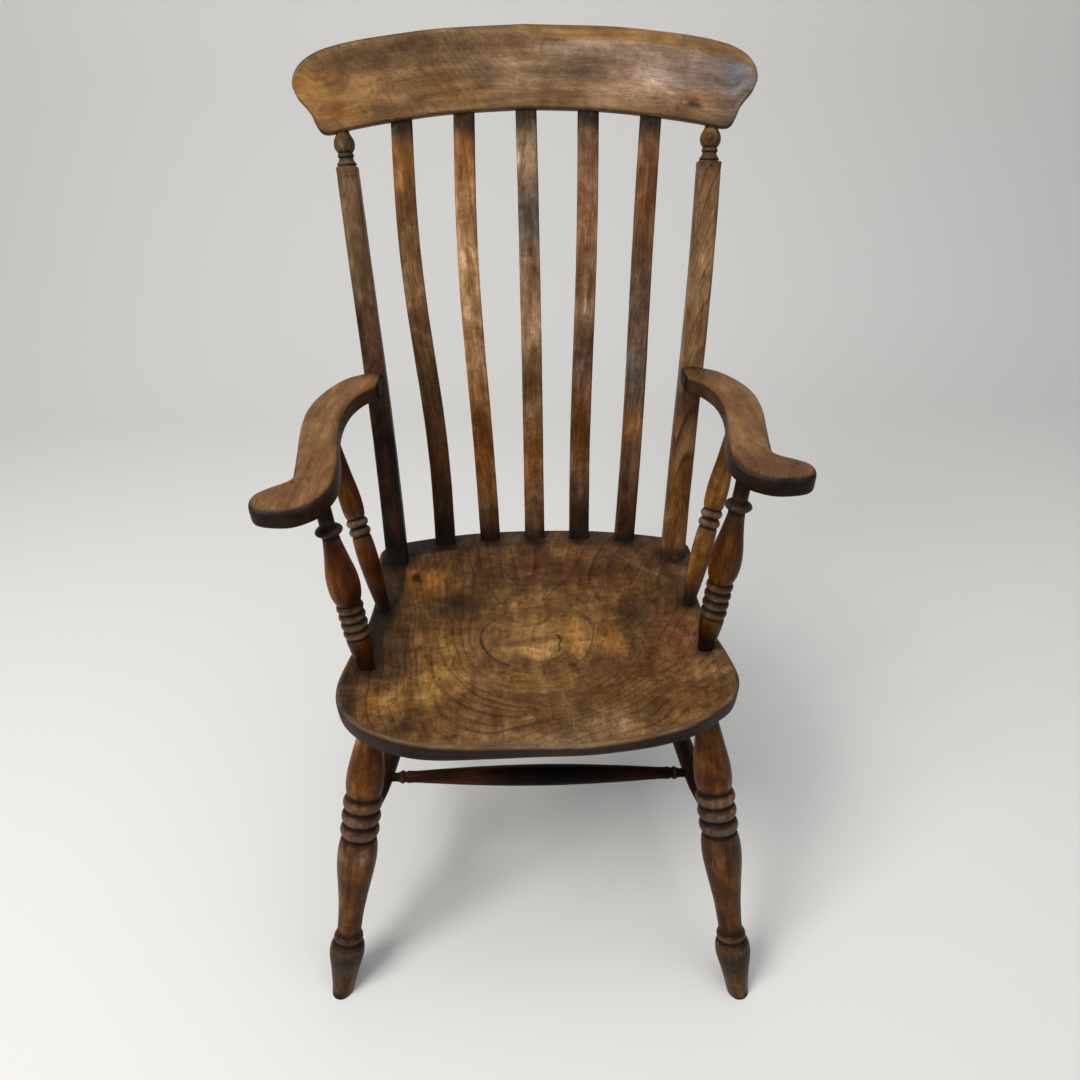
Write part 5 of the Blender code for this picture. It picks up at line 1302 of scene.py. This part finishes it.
def build_arm(side):
    s = SIDES[side]
    start, tilt, run = arm_place(side)
    place = Matrix.Translation(start) @ Matrix.Rotation(tilt, 4, "X")
    lean_out = abs(support_ends(side)[1][0]) - abs(start[0])
    outline = [(s * (out - ARM_TRIM + lean_out * share), -share * run) for share, out in curve(ARM_SHAPE, 8)]
    outline += [(s * ARM_SHAPE[end][1], POST_DEPTH / 2) for end in (-1, 0)]
    board = arm_board(outline)
    cut_at_post(board, side, place)
    points, faces = evened(board)
    ring = rings_of(points[:, [0, 2, 1]], (0.02 * s, 0.045), (0.05, 0.06), 0.0048, 0.007, 83)
    dents = 0.0004 * (0.5 + 0.5 * noise(points, 45.0, 81, 2))
    points[:, 2] += np.where(points[:, 2] > -ARM_THICK / 2, -dents, dents)

    grain = points[:, [0, 2, 1]]
    height = points[:, 2]
    share = -points[:, 1] / run
    across = points[:, 0] * s - lean_out * share
    blur = noise(points, 60.0, 82, 2)
    hand = step(0.78, 0.98, share)
    # The sides below the rounded top edge and the inner corner by the post are painted dark as shade, near
    # black at the hand.
    low_edge = step(-0.0004, -0.0030, height + 0.0030 * (1.0 - step(0.5, 0.9, share)))
    block = step(-0.0105, -0.0140, across) * step(0.14, 0.12, share) * step(0.0, -0.003, height)

    paint = blots(share + 0.03 * noise(points, 30.0, 85, 2), across, *ARM_LOOKS[side], 0.80)
    side_paint = np.ones_like(paint) * srgb(60, 40, 23)
    cover(side_paint, blots(share, across, *HAND_LOOKS[side]), hand)
    cover(paint, side_paint, 0.94 * low_edge)
    cover(paint, srgb(18, 11, 8), 0.94 * block)
    # Dirt near the post, with painted shade on the sides and the inner corner.
    dirt_and_shade = (0.15 + 0.10 * hand + 0.2 * blur) * low_edge + 0.5 * step(0.06, -0.02, share) + 0.6 * block
    for out, along, reach, strength in ARM_SPOTS[side]:
        far = np.hypot(across - out, (share - along) * run)
        dirt_and_shade = np.maximum(dirt_and_shade, strength * near(far, 0.0, reach) * step(-0.004, -0.002, height))
    # A pale band down the rounded top edge towards the hand: worn wood and a painted highlight.
    wear_and_highlight = near(height, -0.0040, 0.0022) * (0.35 + 0.6 * blur) * step(0.3, 0.9, share)
    arm = make_object(f"arm_{side}_board", points @ np.array(place.to_3x3()).T + start, faces, {
        "grain": grain + 0.3 * (s + 1), "paint": paint, "ring": ring, "dirt_and_shade": np.clip(dirt_and_shade, 0, 1),
        "wear_and_highlight": np.clip(wear_and_highlight, 0, 1), "curl": 0.6 * noise(grain, (12.0, 12.0, 50.0), 84, 2)})
    finish(arm, "arm_wood", f"arm_{side}")


def brown_screws():
    """The screws keep their solids and get one shared steel."""
    steel = browned_steel()
    for side in SIDES:
        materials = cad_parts[f"arm_screw_{side}"].data.materials
        materials.clear()
        materials.append(steel)


# Floor, light and camera

def build_stage():
    """Pale floor that curves up into a wall behind the chair."""
    size, rise, depth, bend = 30.0, 8.0, 2.6, 1.0
    rows = [(-size, 0.0), (depth - bend, 0.0)]
    rows += [(depth - bend + math.sin(a) * bend, bend - math.cos(a) * bend)
             for a in np.linspace(0.1, math.pi / 2, 12)]
    rows.append((depth, rise))
    points = [(x, y, z) for y, z in rows for x in (-size, size)]
    faces = [(2 * k, 2 * k + 1, 2 * k + 3, 2 * k + 2) for k in range(len(rows) - 1)]
    mesh = bpy.data.meshes.new("floor")
    mesh.from_pydata(points, [], faces)
    mesh.shade_smooth()
    t = Tree("pale_floor")
    t.shade("Base Color", (0.70, 0.69, 0.67, 1.0))
    t.shade("Roughness", 0.85)
    t.shade("Specular IOR Level", 0.2)
    mesh.materials.append(t.material)
    link(bpy.data.objects.new("floor", mesh))


# Name, place, aim, watts, size and colour
LAMPS = [
    ("key", (-1.7, -1.3, 2.7), (0.0, 0.0, 0.55), 78.0, 1.4, (1.0, 0.98, 0.95)),
    ("fill", (2.0, -1.8, 1.8), (0.0, 0.0, 0.5), 12.0, 2.2, (0.96, 0.98, 1.0)),
    ("top", (0.2, 0.2, 3.0), (0.0, 0.0, 0.4), 24.0, 1.8, (1.0, 1.0, 1.0)),
]


def build_lights():
    scene = bpy.context.scene
    scene.world = scene.world or bpy.data.worlds.new("world")
    scene.world.use_nodes = True
    background = scene.world.node_tree.nodes["Background"]
    background.inputs[0].default_value = (0.93, 0.96, 1.0, 1.0)
    background.inputs[1].default_value = 0.42
    for name, place, aim, energy, size, tint in LAMPS:
        lamp = bpy.data.lights.new(name, "AREA")
        lamp.energy, lamp.size, lamp.color = energy, size, tint
        item = link(bpy.data.objects.new(name, lamp))
        item.location = place
        item.rotation_euler = (Vector(aim) - Vector(place)).to_track_quat("-Z", "Y").to_euler()


# Camera fitted to the photograph: turns in degrees, focal length in pixels of the square frame
YAW, PITCH, ROLL = -0.63, 33.33, -0.87
FOCAL, FRAME_SIZE, SENSOR = 769.0, 1080.0, 36.0
EYE = (-0.003, -0.836, 1.117)


def build_camera():
    yaw, pitch, roll = (math.radians(turn) for turn in (YAW, PITCH, ROLL))
    ahead = Vector((-math.sin(yaw), math.cos(yaw), 0.0))
    right = Vector((math.cos(yaw), math.sin(yaw), 0.0))
    up = Vector((0.0, 0.0, 1.0))
    forward = ahead * math.cos(pitch) - up * math.sin(pitch)
    above = ahead * math.sin(pitch) + up * math.cos(pitch)
    cam_x = right * math.cos(roll) + above * math.sin(roll)
    cam_y = -right * math.sin(roll) + above * math.cos(roll)
    data = bpy.data.cameras.new("camera")
    data.sensor_width = SENSOR
    data.lens = SENSOR * FOCAL / FRAME_SIZE
    camera = link(bpy.data.objects.new("camera", data))
    camera.matrix_world = (Matrix.Translation(np.array(EYE) + SHIFT)
                           @ Matrix((cam_x, cam_y, -forward)).transposed().to_4x4())
    bpy.context.scene.camera = camera


build_seat()
build_crest()
build_posts()
build_laths()
build_legs()
build_supports()
build_stretchers()
for arm_side in SIDES:
    build_arm(arm_side)
brown_screws()
build_stage()
build_lights()
build_camera()
bpy.context.scene.view_settings.view_transform = "Standard"

bpy.context.view_layer.update()
